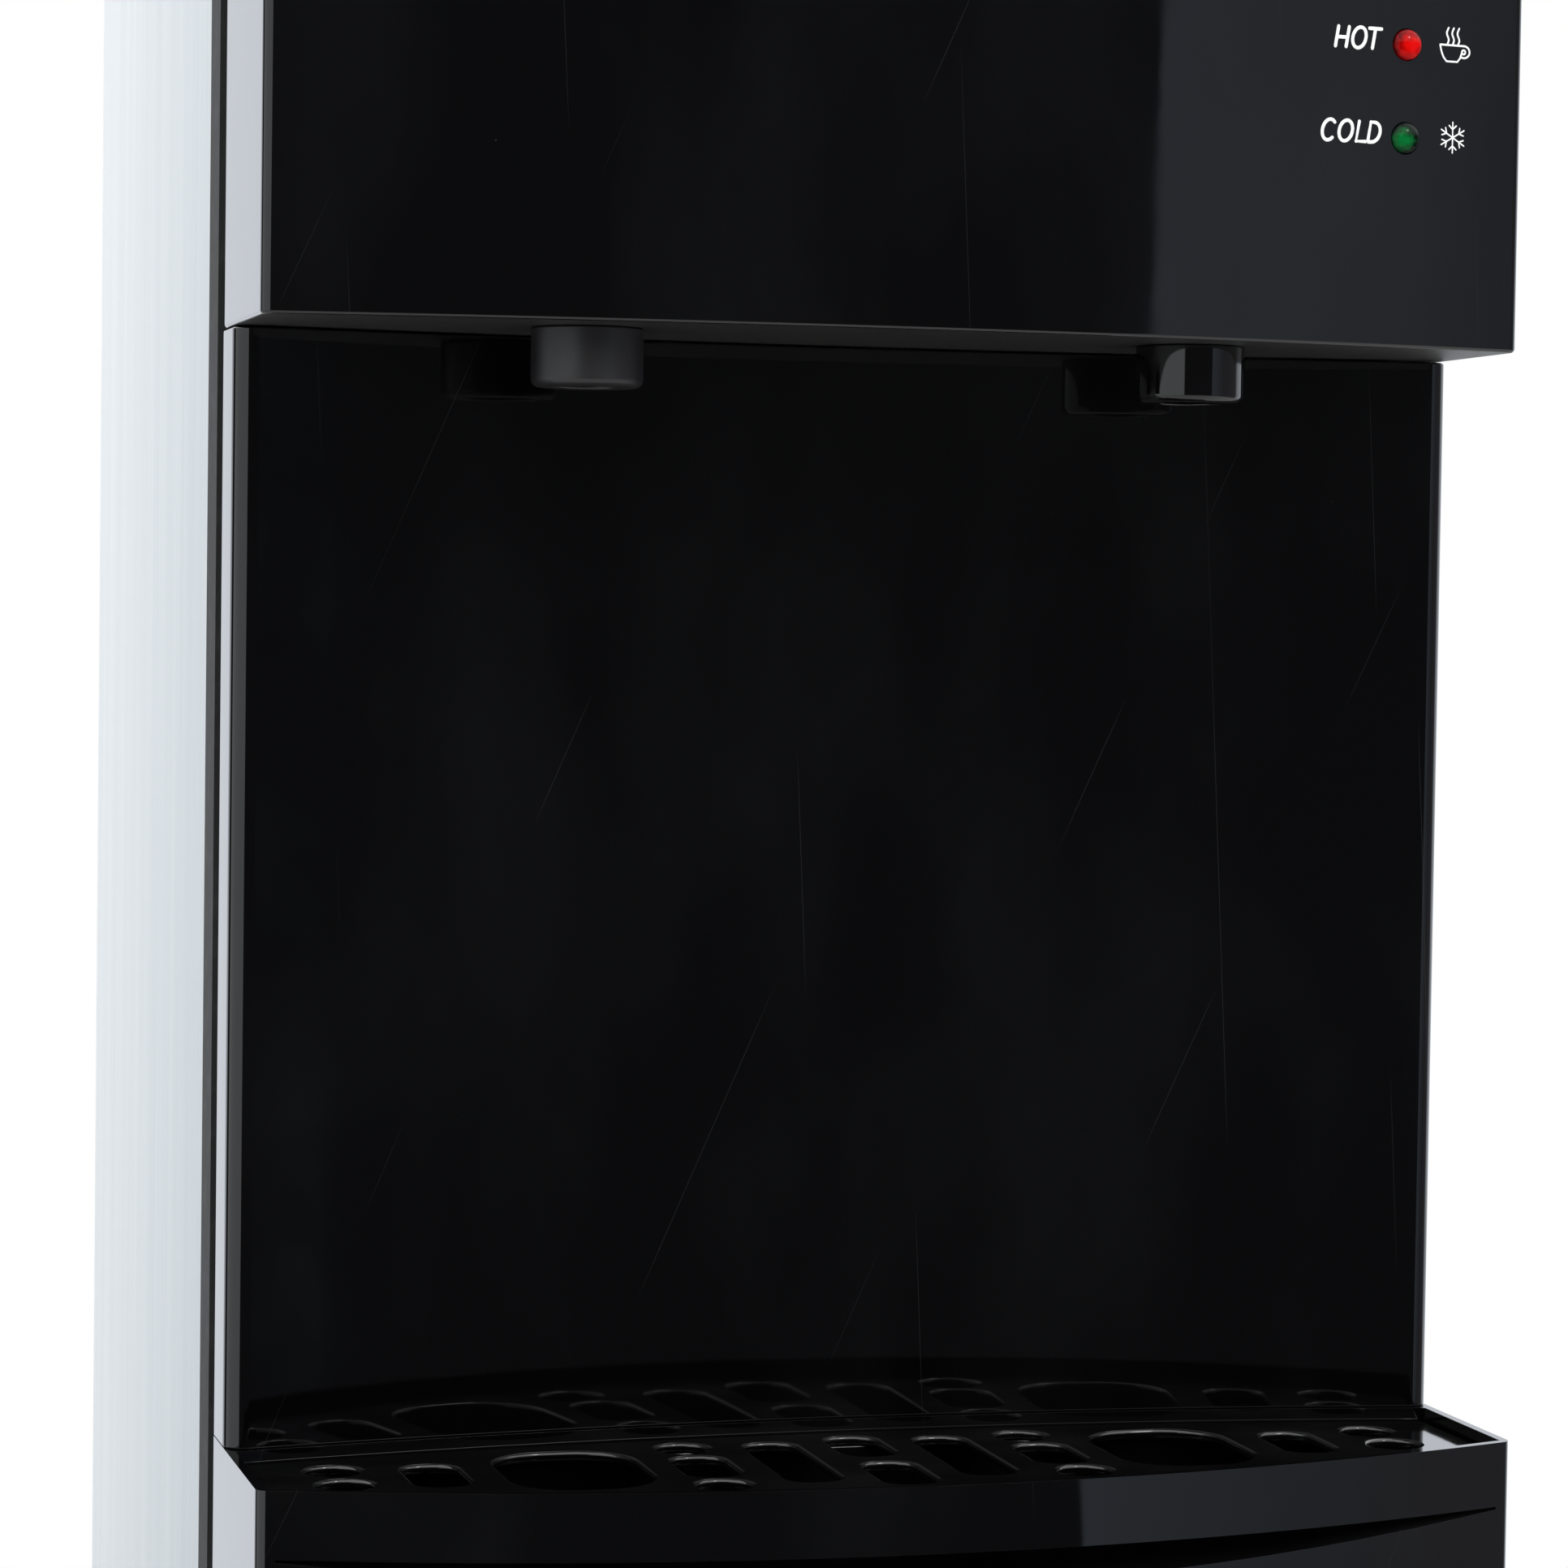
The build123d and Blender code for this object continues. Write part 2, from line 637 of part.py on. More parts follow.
with BuildPart() as button_deck:
    with BuildSketch(Plane.XY.offset(head_z + head_height / 2)) as plan:
        add(bowed_plan(head_corner_y, head_bow, deck_back_y))
        fillet(plan.vertices().group_by(Axis.Y)[0], front_corner)
    extrude(amount=head_height)
    split(bisect_by=deck_plane(0), keep=Keep.BOTTOM)
    split(bisect_by=deck_plane(deck_thick), keep=Keep.TOP)
    for x in (-spout_x, spout_x):
        with Locations((x, button_y, head_top_z)):
            Box(button_wide + 2 * button_gap, button_long + 2 * button_gap, head_height, mode=Mode.SUBTRACT)
save(button_deck, "button_deck")

lock_x = -spout_x
lock_v = (button_y + 2.0 - face_y) / cos(deck_angle)  # child lock's centre up the slope
pocket_deep = 4.0
for side, name in ((-1, "hot"), (1, "cold")):
    x = side * spout_x
    with BuildPart() as button:
        with BuildSketch(Plane.XY.offset(deck_z(button_y) - button_skirt)) as plan:
            with Locations((x, button_y)):
                RectangleRounded(button_wide, button_long, 4.0)
        extrude(amount=2 * button_skirt)
        split(bisect_by=deck_plane(-button_proud), keep=Keep.BOTTOM)
        top_edges = button.faces().sort_by(Axis.Z)[-1].edges()
        fillet(top_edges, 1.5)
        with BuildSketch(Plane.XY.offset(deck_z(button_y) - button_skirt)):
            with Locations((x, button_y)):
                Rectangle(button_wide - 2 * plastic_wall, button_long - 2 * plastic_wall)
        extrude(amount=button_skirt - 12.0, mode=Mode.SUBTRACT)
        with Locations((x, spout_y, stem_z)):
            Cylinder(5.0, 60.0, align=(Align.CENTER, Align.CENTER, Align.MIN))
        with Locations((x, spout_y, stem_z)):
            Cylinder(9.0, 3.0, align=(Align.CENTER, Align.CENTER, Align.MIN))
        split(bisect_by=deck_plane(-button_proud), keep=Keep.BOTTOM)
        if name == "hot":
            with BuildSketch(deck_plane(pocket_deep - button_proud)):
                with Locations((lock_x, lock_v + lock_travel / 2)):
                    Rectangle(lock_wide + 0.6, lock_long + lock_travel + 0.8)
            extrude(amount=4 * pocket_deep, mode=Mode.SUBTRACT)
    save(button, f"{name}_button")
    with BuildPart() as plunger:
        with Locations((x, spout_y, valve_z + 18.0)):
            Cylinder(plunger_r, stem_z - valve_z - 18.0, align=(Align.CENTER, Align.CENTER, Align.MIN))
        with Locations((x, spout_y, valve_z + 30.0)):
            Cylinder(7.5, 4.0, align=(Align.CENTER, Align.CENTER, Align.MIN))
    save(plunger, f"{name}_plunger")
    with BuildPart() as valve_body:
        with Locations((x, spout_y, valve_z)):
            Cylinder(valve_r, valve_high, align=(Align.CENTER, Align.CENTER, Align.MIN))
        with Locations((x, spout_y, valve_z)):
            Cylinder(valve_r + 4, 3.0, align=(Align.CENTER, Align.CENTER, Align.MIN))
        with Locations((x, spout_y + valve_r + 5, valve_z + 14.0)):
            Cylinder(stub_r, 2 * valve_r - 6, rotation=(90, 0, 0))
        with Locations((x, spout_y + valve_r + 5, valve_z + 14.0)):
            Cylinder(stub_bore, 2 * valve_r + 2, rotation=(90, 0, 0), mode=Mode.SUBTRACT)
        with Locations((x, spout_y, valve_z + 6.0)):
            Cylinder(9.5, valve_high - 14.0, align=(Align.CENTER, Align.CENTER, Align.MIN), mode=Mode.SUBTRACT)
        with Locations((x, spout_y, valve_z)):
            Cylinder(5.0, 20.0, mode=Mode.SUBTRACT)
        with Locations((x, spout_y, valve_z + valve_high)):
            Cylinder(plunger_r + running, 30.0, mode=Mode.SUBTRACT)
    save(valve_body, f"{name}_valve_body")
    spring_low = valve_z + valve_high + spring_wire + 0.05
    spring_high = stem_z - spring_wire - 0.05
    spring = coil(x, spout_y, spring_low, spring_r, spring_wire, (spring_high - spring_low) / spring_turns, spring_turns)
    save(spring, f"{name}_return_spring")
    with BuildPart() as spout:
        with BuildSketch(Plane(origin=(x, spout_y, 0), x_dir=(1, 0, 0), z_dir=(0, -1, 0))) as section:
            low = head_z - spout_drop
            top = head_z - 0.1
            Polygon(
                (outlet_r, low), (spout_r, low), (spout_r, top), (neck_r, top), (neck_r, valve_z - 0.1),
                (5.0, valve_z - 0.1), (5.0, top - 2), (outlet_r, top - 4), align=None,
            )
            fillet(section.vertices().sort_by(Axis.Y)[:2].sort_by(Axis.X)[-1:], 2.0)
        revolve(axis=Axis((x, spout_y, 0), (0, 0, 1)))
    save(spout, f"{name}_spout")

with BuildPart() as child_lock:
    with BuildSketch(deck_plane(pocket_deep - button_proud - 0.05)) as plan:
        with Locations((lock_x, lock_v)):
            RectangleRounded(lock_wide, lock_long, 2.0)
    extrude(amount=lock_high)
    top_edges = child_lock.faces().sort_by(Axis.Z)[-1].edges()
    fillet(top_edges, 1.2)
save(child_lock, "child_lock")

for up, name in ((lamp_upper, "hot_indicator"), (lamp_lower, "cold_indicator")):
    with BuildPart() as indicator:
        straight = board_y - lamp_face_y
        with BuildSketch(Plane(origin=(lamp_x, lamp_face_y, head_z + up), x_dir=(1, 0, 0), z_dir=(0, 0, 1))):
            with BuildLine():
                Polyline((0, -lamp_proud), (0, straight), (lamp_r, straight), (lamp_r, 0))
                RadiusArc((lamp_r, 0), (0, -lamp_proud), (lamp_r**2 + lamp_proud**2) / (2 * lamp_proud))
            make_face()
        revolve(axis=Axis((lamp_x, lamp_face_y, head_z + up), (0, 1, 0)))
    save(indicator, name)

board_thick = 1.6
board_top_z = head_z + lamp_upper + 10.0
with BuildPart() as indicator_board:
    with Locations((lamp_x, board_y + board_thick / 2, peg_z)):
        Box(27, board_thick, 2 * (board_top_z - peg_z))
save(indicator_board, "indicator_board")

# Top cover, bottle seat and probe
with BuildPart() as top_cover:
    cover_front_y = deck_back_y + 0.2
    skirt_z = cover_z - cover_skirt
    with BuildSketch(Plane.XY.offset(skirt_z)) as plan:
        with Locations((0, (cover_front_y + rear_y) / 2)):
            Rectangle(width, rear_y - cover_front_y)
        fillet(plan.vertices().group_by(Axis.Y)[-1], 6.0)
    extrude(amount=cover_z - skirt_z)
    fillet(top_cover.faces().sort_by(Axis.Z)[-1].edges().sort_by(Axis.Y)[1:], cover_edge)
    with BuildSketch(Plane.XY.offset(skirt_z)) as plan:
        with Locations((0, (cover_front_y + rear_y) / 2)):
            Rectangle(2 * (panel_x + fit), rear_y - cover_front_y - 2 * cover_edge)
    extrude(amount=cover_z - skirt_z - plastic_wall, mode=Mode.SUBTRACT)
    with Locations((0, cover_front_y, skirt_z)):
        Box(2 * (panel_x + fit), 3 * cover_edge, 2 * (cover_z - skirt_z - 6.0), mode=Mode.SUBTRACT)
    with BuildSketch(Plane.XY.offset(tank_top_z + 6.0)):
        with Locations((0, tank_y)):
            Circle(seat_hole + plastic_wall)
    extrude(amount=cover_z - tank_top_z - 7.0)
    with BuildSketch(Plane.XY.offset(skirt_z)):
        with Locations((0, tank_y)):
            Circle(seat_hole)
    extrude(amount=2 * seat_rise + 30.0, both=True, mode=Mode.SUBTRACT)
save(top_cover, "top_cover")

socket_z = cover_z - socket_floor
funnel_slope = 0.7
funnel_top = seat_z - 3.0
funnel_r = seat_hole - 4.0
throat_z = funnel_top - (funnel_r - socket_r - 5.0) * funnel_slope
with BuildPart() as bottle_seat:
    with BuildSketch(Plane(origin=(0, tank_y, 0), x_dir=(1, 0, 0), z_dir=(0, -1, 0))):
        outside = funnel_r + seat_wall
        Polygon(
            (seat_r, cover_z + fit), (seat_r, cover_z + 3.0), (seat_r - 8, seat_z), (seat_r - 12, seat_z),
            (funnel_r, funnel_top), (socket_r + 5, throat_z), (socket_r, throat_z - 6), (socket_r, socket_z),
            (probe_r + fit, socket_z), (probe_r + fit, socket_z - seat_wall),
            (socket_r + seat_wall, socket_z - seat_wall), (socket_r + seat_wall, throat_z - 7),
            (socket_r + 6, throat_z - 3.2), (outside, cover_z - 0.5), (outside, cover_z + fit), align=None,
        )
    revolve(axis=Axis((0, tank_y, 0), (0, 0, 1)))
    skirt_top = funnel_top - (funnel_r - skirt_r) * funnel_slope - 1.0
    with BuildSketch(Plane.XY.offset(tank_top_z - 4.0)):
        with Locations((0, tank_y)):
            Circle(skirt_r)
            Circle(skirt_r - seat_wall, mode=Mode.SUBTRACT)
    extrude(amount=skirt_top - tank_top_z + 4.0 - 2.0)
save(bottle_seat, "bottle_seat")

with BuildPart() as feed_probe:
    probe_top = throat_z + 6.0
    probe_low = socket_z - 14.0
    with BuildSketch(Plane(origin=(0, tank_y, 0), x_dir=(1, 0, 0), z_dir=(0, -1, 0))) as section:
        Polygon(
            (probe_bore, probe_low), (probe_r, probe_low), (probe_r, socket_z - seat_wall - 3),
            (probe_r + 6, socket_z - seat_wall - 3), (probe_r + 6, socket_z - seat_wall - 0.1),
            (probe_r, socket_z - seat_wall - 0.1), (probe_r, probe_top - 6), (probe_r - 6, probe_top),
            (0, probe_top), (0, probe_top - 4), (probe_bore, probe_top - 8), align=None,
        )
    revolve(axis=Axis((0, tank_y, 0), (0, 0, 1)))
    with Locations((0, tank_y, probe_top - 18.0)):
        with PolarLocations(probe_r, 4):
            Box(8, 7, 12, mode=Mode.SUBTRACT)
save(feed_probe, "feed_probe")

with BuildPart() as seat_gasket:
    with BuildSketch(Plane.XY.offset(tank_top_z + tank_wall)):
        with Locations((0, tank_y)):
            Circle(tank_r + 8.0)
            Circle(skirt_r + fit, mode=Mode.SUBTRACT)
    extrude(amount=4.0)
save(seat_gasket, "seat_gasket")

# Cold tank, baffle, evaporator and insulation
cold_port_x = 0.5625 * tank_r
port_end_y = tank_y - 0.75 * tank_r
cold_port_z = tank_z + 16.0
insulation_front_y = tank_y - insulation / 2
with BuildPart() as cold_tank:
    with BuildSketch(Plane.XY.offset(tank_z)):
        with Locations((0, tank_y)):
            Circle(tank_r)
    extrude(amount=tank_high)
    with BuildSketch(Plane.XY.offset(tank_top_z)):
        with Locations((0, tank_y)):
            Circle(tank_r + 8.0)
    extrude(amount=tank_wall)
    with Locations((0, tank_y, tank_z - 32.0)):
        Cylinder(stub_r, 33.0, align=(Align.CENTER, Align.CENTER, Align.MIN))
    port_front_y = insulation_front_y - 10.0
    with Locations((cold_port_x, (port_front_y + port_end_y) / 2, cold_port_z)):
        Cylinder(stub_r, port_end_y - port_front_y, rotation=(90, 0, 0))
    with BuildSketch(Plane.XY.offset(tank_z + tank_wall)):
        with Locations((0, tank_y)):
            Circle(tank_r - tank_wall)
    extrude(amount=tank_high + tank_wall, mode=Mode.SUBTRACT)
    with Locations((0, tank_y, tank_z - 16.0)):
        Cylinder(stub_bore, 50.0, mode=Mode.SUBTRACT)
    with Locations((cold_port_x, (port_front_y + port_end_y) / 2, cold_port_z)):
        Cylinder(stub_bore, port_end_y + 10.0 - port_front_y, rotation=(90, 0, 0), mode=Mode.SUBTRACT)
save(cold_tank, "cold_tank")

with BuildPart() as baffle:
    baffle_z = tank_z + 0.6 * tank_high
    with Locations((0, tank_y, baffle_z)):
        Cylinder(tank_r - 5.0, 2.5)
    with Locations((0, tank_y, tank_z + tank_wall)):
        Cylinder(9.0, baffle_z - tank_z - tank_wall, align=(Align.CENTER, Align.CENTER, Align.MIN))
    with Locations((0, tank_y, baffle_z)):
        Cylinder(6.0, 3 * tank_high, mode=Mode.SUBTRACT)
        with PolarLocations(tank_r - 14.0, 8):
            Cylinder(4.0, 10.0, mode=Mode.SUBTRACT)
save(baffle, "baffle")

coil_r = tank_r + coil_wire + fit
coil_z = tank_z + coil_start
coil_top_z = coil_z + coil_turns * coil_pitch
with BuildPart() as evaporator_coil:
    wound = coil(0, tank_y, coil_z, coil_r, coil_wire, coil_pitch, coil_turns)
    add(wound.part.rotate(Axis((0, tank_y, 0), (0, 0, 1)), 90))
save(evaporator_coil, "evaporator_coil")

cavity_r = coil_r + coil_wire + 3.0
chimney_wide = 28.0
for side, name in ((-1, "left_insulation"), (1, "right_insulation")):
    with BuildPart() as half_shell:
        with BuildSketch(Plane.XY.offset(cold_shelf_z)):
            with Locations((0, tank_y)):
                RectangleRounded(insulation, insulation, insulation_corner)
        extrude(amount=tank_top_z - cold_shelf_z - fit)
        with BuildSketch(Plane.XY.offset(tank_z - 0.1)):
            with Locations((0, tank_y)):
                Circle(cavity_r)
        extrude(amount=tank_high, mode=Mode.SUBTRACT)
        with Locations((0, tank_y, cold_shelf_z)):
            Cylinder(stub_r + 1.0, 4 * insulation_floor, mode=Mode.SUBTRACT)
        with Locations((cold_port_x, insulation_front_y, cold_port_z)):
            Cylinder(stub_r + 1.0, insulation, rotation=(90, 0, 0), mode=Mode.SUBTRACT)
        with Locations((0, chimney_y, tank_z)):
            Box(chimney_wide, 18.0, 3 * tank_high, mode=Mode.SUBTRACT)
        with Locations((side * insulation / 4 + side * 0.05, tank_y, 0)):
            Box(insulation / 2, 2 * insulation, 4 * cover_z, mode=Mode.INTERSECT)
    save(half_shell, name)

# Hot tank with its jacket and thermostats
jacket_low_z = hot_z + 11.0
jacket_top_z = hot_top_z - 3.0
outlet_x = -0.5 * hot_r
outlet_y = hot_y + 0.36 * hot_r
side_port_z = hot_z + 5.5
heater_end = -hot_r - 12.0
stub_low_z = hot_z - 30.0
hose_bend = 10.0
with BuildPart() as hot_tank:
    with BuildSketch(Plane.XY.offset(hot_z)):
        with Locations((0, hot_y)):
            Circle(hot_r)
    extrude(amount=hot_high)
    fillet(hot_tank.edges().filter_by(GeomType.CIRCLE), 3.0)
    with Locations((0, hot_y, hot_shelf_z)):
        with PolarLocations(hot_r - 14.0, 3, 30):
            Cylinder(stub_r, leg_high + 1, align=(Align.CENTER, Align.CENTER, Align.MIN))
    with Locations((0, hot_y, stub_low_z)):
        Cylinder(stub_r, hot_z - stub_low_z + 1, align=(Align.CENTER, Align.CENTER, Align.MIN))
    with Locations((outlet_x, outlet_y, hot_top_z - 1)):
        Cylinder(stub_r, 13.0, align=(Align.CENTER, Align.CENTER, Align.MIN))
    with Locations((hot_r + 12.0, hot_y, side_port_z)):
        Cylinder(stub_r, 28.0, rotation=(0, 90, 0))
    with Locations((heater_end + 7.0, hot_y, side_port_z)):
        Cylinder(4.5, 14.0, rotation=(0, 90, 0))
    with BuildSketch(Plane.XY.offset(hot_z + tank_wall)):
        with Locations((0, hot_y)):
            Circle(hot_r - tank_wall)
    extrude(amount=hot_high - 2 * tank_wall, mode=Mode.SUBTRACT)
    with Locations((0, hot_y, stub_low_z)):
        Cylinder(stub_bore, 80.0, mode=Mode.SUBTRACT)
    with Locations((outlet_x, outlet_y, hot_top_z)):
        Cylinder(stub_bore, 60.0, mode=Mode.SUBTRACT)
    with Locations((hot_r + 12.0, hot_y, side_port_z)):
        Cylinder(stub_bore, 60.0, rotation=(0, 90, 0), mode=Mode.SUBTRACT)
    # heating element: a rod joined to its terminal
    with Locations((-hot_r + 16.0, hot_y, side_port_z)):
        Cylinder(3.0, 36.0, rotation=(0, 90, 0))
    with Locations((-hot_r + 34.0, hot_y, side_port_z + 25.0)):
        Cylinder(3.0, 50.0)
save(hot_tank, "hot_tank")

with BuildPart() as hot_tank_jacket:
    with BuildSketch(Plane.XY.offset(jacket_low_z)):
        with Locations((0, hot_y)):
            Circle(jacket_r)
            Circle(hot_r + fit, mode=Mode.SUBTRACT)
    extrude(amount=jacket_top_z - jacket_low_z)
save(hot_tank_jacket, "hot_tank_jacket")

thermostat_r = 0.2 * hot_r
thermostat_places = [(0.56 * hot_r, hot_y + 0.44 * hot_r), (0.1 * hot_r, hot_y + 0.64 * hot_r)]
with BuildPart() as tank_thermostats:
    with Locations(*[(x, y, hot_top_z) for x, y in thermostat_places]):
        Cylinder(thermostat_r, 6.0, align=(Align.CENTER, Align.CENTER, Align.MIN))
        Cylinder(7.0, 9.0, align=(Align.CENTER, Align.CENTER, Align.MIN))
save(tank_thermostats, "tank_thermostats")

# Compressor on its rubber mounts
plate_z = pan_z + 17.0
can_top_z = plate_z + 4.0 + compressor_high
discharge_x = 1.5 * wire_pitch
discharge_z = 140.0
suction_x = -50.0
suction_y = compressor_y + 40.0
pipe_front_y = chimney_y - 8.0
mount_neck = 7.0
seam = 1.5  # weld ring round the compressor's can
with BuildPart() as compressor:
    with BuildSketch(Plane.XY.offset(plate_z)):
        with Locations((compressor_x, compressor_y)):
            RectangleRounded(2 * mount_x + 30.0, 2 * mount_y + 30.0, 14.0)
    extrude(amount=3.0)
    with Locations(*[(x, y, plate_z) for x, y in mount_places]):
        Hole(mount_neck + 0.1)
    with BuildSketch(Plane.XY.offset(plate_z + 2.0)):
        with Locations((compressor_x, compressor_y)):
            Circle(compressor_r)
    extrude(amount=compressor_high)
    fillet(compressor.faces().sort_by(Axis.Z)[-1].edges(), 18.0)
    with Locations((compressor_x, compressor_y, plate_z + 2.0 + 0.45 * compressor_high)):
        Cylinder(compressor_r + seam, 6.0)
    with Locations((discharge_x, pipe_front_y - 30.0, discharge_z)):
        Cylinder(tube_r, 60.0, rotation=(90, 0, 0))
    with Locations((suction_x, suction_y, can_top_z - 30.0)):
        Cylinder(coil_wire, 44.0, align=(Align.CENTER, Align.CENTER, Align.MIN))
save(compressor, "compressor")
suction_end_z = can_top_z + 14.0

with BuildPart() as compressor_mounts:
    for x, y in mount_places:
        with BuildSketch(Plane(origin=(x, y, 0), x_dir=(1, 0, 0), z_dir=(0, -1, 0))):
            under = plate_z - 0.05
            over = plate_z + 3.05
            Polygon(
                (bolt_r + 0.1, pan_z), (12, pan_z), (11, under), (mount_neck, under), (mount_neck, over),
                (9.5, over), (9.0, over + 4), (bolt_r + 0.1, over + 4), align=None,
            )
        revolve(axis=Axis((x, y, 0), (0, 0, 1)))
save(compressor_mounts, "compressor_mounts")

relay_low_z = 80.0
relay_top_z = 140.0
with BuildPart() as relay_cover:
    with BuildSketch(Plane.XY.offset(relay_low_z)):
        with Locations((compressor_x - compressor_r - 6.0, compressor_y)):
            RectangleRounded(42.0, 48.0, 5.0)
        with Locations((compressor_x, compressor_y)):
            Circle(compressor_r + seam + fit, mode=Mode.SUBTRACT)
    extrude(amount=relay_top_z - relay_low_z)
    fillet(relay_cover.faces().sort_by(Axis.Z)[-1].edges().sort_by(Axis.X)[:1], 2.0)
save(relay_cover, "relay_cover")

# Condenser behind the cabinet, and the pipes of the cold circuit
drier_x = panel_in_x - 25.5
drier_y = service_y
drier_z = 110.0
condenser_top = condenser_low + (pass_count - 1) * pass_pitch
bend = 20.0
with BuildPart() as condenser:
    points = [
        (discharge_x, pipe_front_y + 0.1, discharge_z), (discharge_x, condenser_y, discharge_z),
        (discharge_x, condenser_y, condenser_low),
    ]
    for row in range(pass_count):
        z = condenser_low + row * pass_pitch
        end_x = -pass_half if row % 2 == 0 else pass_half
        if row:
            points.append((-end_x, condenser_y, z))
        if row < pass_count - 1:
            points.append((end_x, condenser_y, z))
    below_panel_z = rear_bay - 8.0
    points += [
        (drier_x, condenser_y, condenser_top), (drier_x, condenser_y, below_panel_z),
        (drier_x, drier_y, below_panel_z), (drier_x, drier_y, drier_z + drier_high + 0.1),
    ]
    add(tube(points, bend, tube_r).part)
    for step in range(-wire_side, wire_side + 1):
        for side in (-1, 1):
            y = condenser_y + side * (tube_r + wire_r + 0.05)
            with Locations((step * wire_pitch, y, condenser_low - 15.0)):
                Cylinder(
                    wire_r, condenser_top - condenser_low + 30.0, align=(Align.CENTER, Align.CENTER, Align.MIN)
                )
save(condenser, "condenser")

with BuildPart() as filter_drier:
    with BuildSketch(Plane(origin=(drier_x, drier_y, 0), x_dir=(1, 0, 0), z_dir=(0, -1, 0))):
        top = drier_z + drier_high
        Polygon(
            (0, drier_z - 2), (2, drier_z - 2), (drier_r, drier_z + 9), (drier_r, top - 9), (3.5, top), (0, top),
            align=None,
        )
    revolve(axis=Axis((drier_x, drier_y, 0), (0, 0, 1)))
save(filter_drier, "filter_drier")

coil_back_y = tank_y + coil_r
capillary_x = -8.0
with BuildPart() as capillary_tube:
    points = [
        (drier_x, drier_y, drier_z - 2.1), (drier_x, drier_y, drier_z - 22), (capillary_x, chimney_y, drier_z - 22),
        (capillary_x, chimney_y, coil_top_z - 6), (capillary_x, coil_back_y, coil_top_z),
        (-0.1, coil_back_y, coil_top_z),
    ]
    add(tube(points, 5.0, wire_r + 0.4).part)
save(capillary_tube, "capillary_tube")

suction_line_x = 9.0
with BuildPart() as suction_tube:
    points = [
        (0.1, coil_back_y, coil_z), (suction_line_x, coil_back_y, coil_z),
        (suction_line_x, chimney_y, coil_z - 12), (suction_line_x, chimney_y, condenser_low - 30.0),
        (suction_x, suction_y, suction_end_z + 34), (suction_x, suction_y, suction_end_z + 0.1),
    ]
    add(tube(points, 7.0, coil_wire).part)
save(suction_tube, "suction_tube")

# Water hoses
valve_port_z = valve_z + 14.0
hose_end_y = spout_y + valve_r + 0.35
cold_hose_y = port_front_y - 11.0
with BuildPart() as cold_water_hose:
    points = [
        (cold_port_x, insulation_front_y - 0.5, cold_port_z), (cold_port_x, cold_hose_y, cold_port_z),
        (spout_x, cold_hose_y, cold_port_z + 60), (spout_x, cold_hose_y, valve_port_z),
        (spout_x, hose_end_y, valve_port_z),
    ]
    add(tube(points, hose_bend, hose_r, hose_bore).part)
save(cold_water_hose, "cold_water_hose")

hot_run_z = hot_top_z + 24.0
hot_run_x = -jacket_r - 29.0
hot_run_y = deck_back_y - 4.0
with BuildPart() as hot_water_hose:
    points = [
        (outlet_x, outlet_y, hot_top_z + 4), (outlet_x, outlet_y, hot_run_z), (hot_run_x, hot_y - 30.0, hot_run_z),
        (hot_run_x, hot_run_y, hot_run_z), (-spout_x, hot_run_y, hot_run_z + 51),
        (-spout_x, hot_run_y, valve_port_z), (-spout_x, hose_end_y, valve_port_z),
    ]
    add(tube(points, hose_bend, hose_r, hose_bore).part)
save(hot_water_hose, "hot_water_hose")

feed_x = jacket_r + 22.0
with BuildPart() as tank_feed_hose:
    points = [
        (0, tank_y, cold_shelf_z - 2), (0, tank_y, cold_shelf_z - 27), (feed_x, (tank_y + hot_y) / 2, cold_shelf_z - 27),
        (feed_x, hot_y, side_port_z), (jacket_r + 1.0, hot_y, side_port_z),
    ]
    add(tube(points, hose_bend, hose_r, hose_bore).part)
save(tank_feed_hose, "tank_feed_hose")

barb_front_y = rear_panel_y - 17.75
with BuildPart() as drain_hose:
    points = [
        (0, hot_y, hot_shelf_z - 2), (0, hot_y, hot_shelf_z - 37), (drain_x, service_y, hot_shelf_z - 87),
        (drain_x, service_y, drain_z), (drain_x, barb_front_y + 11.0, drain_z),
    ]
    add(tube(points, hose_bend, hose_r, hose_bore).part)
save(drain_hose, "drain_hose")

# Rear fittings: drain with its cap, cord inlet, switches, control box
panel_in_y = rear_panel_y - sheet
with BuildPart() as drain_fitting:
    with BuildSketch(Plane(origin=(drain_x, 0, drain_z), x_dir=(1, 0, 0), z_dir=(0, 0, 1))):
        Polygon(
            (stub_bore, barb_front_y), (stub_r, barb_front_y), (stub_r, panel_in_y - 4), (13, panel_in_y - 4),
            (13, panel_in_y - 0.1), (9, panel_in_y - 0.1), (9, rear_panel_y + 0.1), (14, rear_panel_y + 0.1),
            (14, rear_panel_y + 2.2), (7, rear_panel_y + 2.2), (7, cabinet_rear_y - 7), (stub_bore, cabinet_rear_y - 7),
            align=None,
        )
    revolve(axis=Axis((drain_x, 0, drain_z), (0, 1, 0)))
save(drain_fitting, "drain_fitting")

with BuildPart() as drain_cap:
    with BuildSketch(Plane(origin=(drain_x, 0, drain_z), x_dir=(1, 0, 0), z_dir=(0, 0, 1))):
        open_y = rear_panel_y + 2.6
        Polygon(
            (7.0 + running, open_y), (11, open_y), (11, cabinet_rear_y - 2.5), (10, cabinet_rear_y - 1.5), (0, cabinet_rear_y - 1.5),
            (0, cabinet_rear_y - 6.5), (7.0 + running, cabinet_rear_y - 6.5), align=None,
        )
    revolve(axis=Axis((drain_x, 0, drain_z), (0, 1, 0)))
    for step in range(12):
        turn = step * 30
        with Locations(Location((drain_x, (open_y + cabinet_rear_y - 2.5) / 2, drain_z), (0, turn, 0))):
            with Locations((11.2, 0, 0)):
                Box(1.4, cabinet_rear_y - 2.5 - open_y - 2, 1.6)
save(drain_cap, "drain_cap")

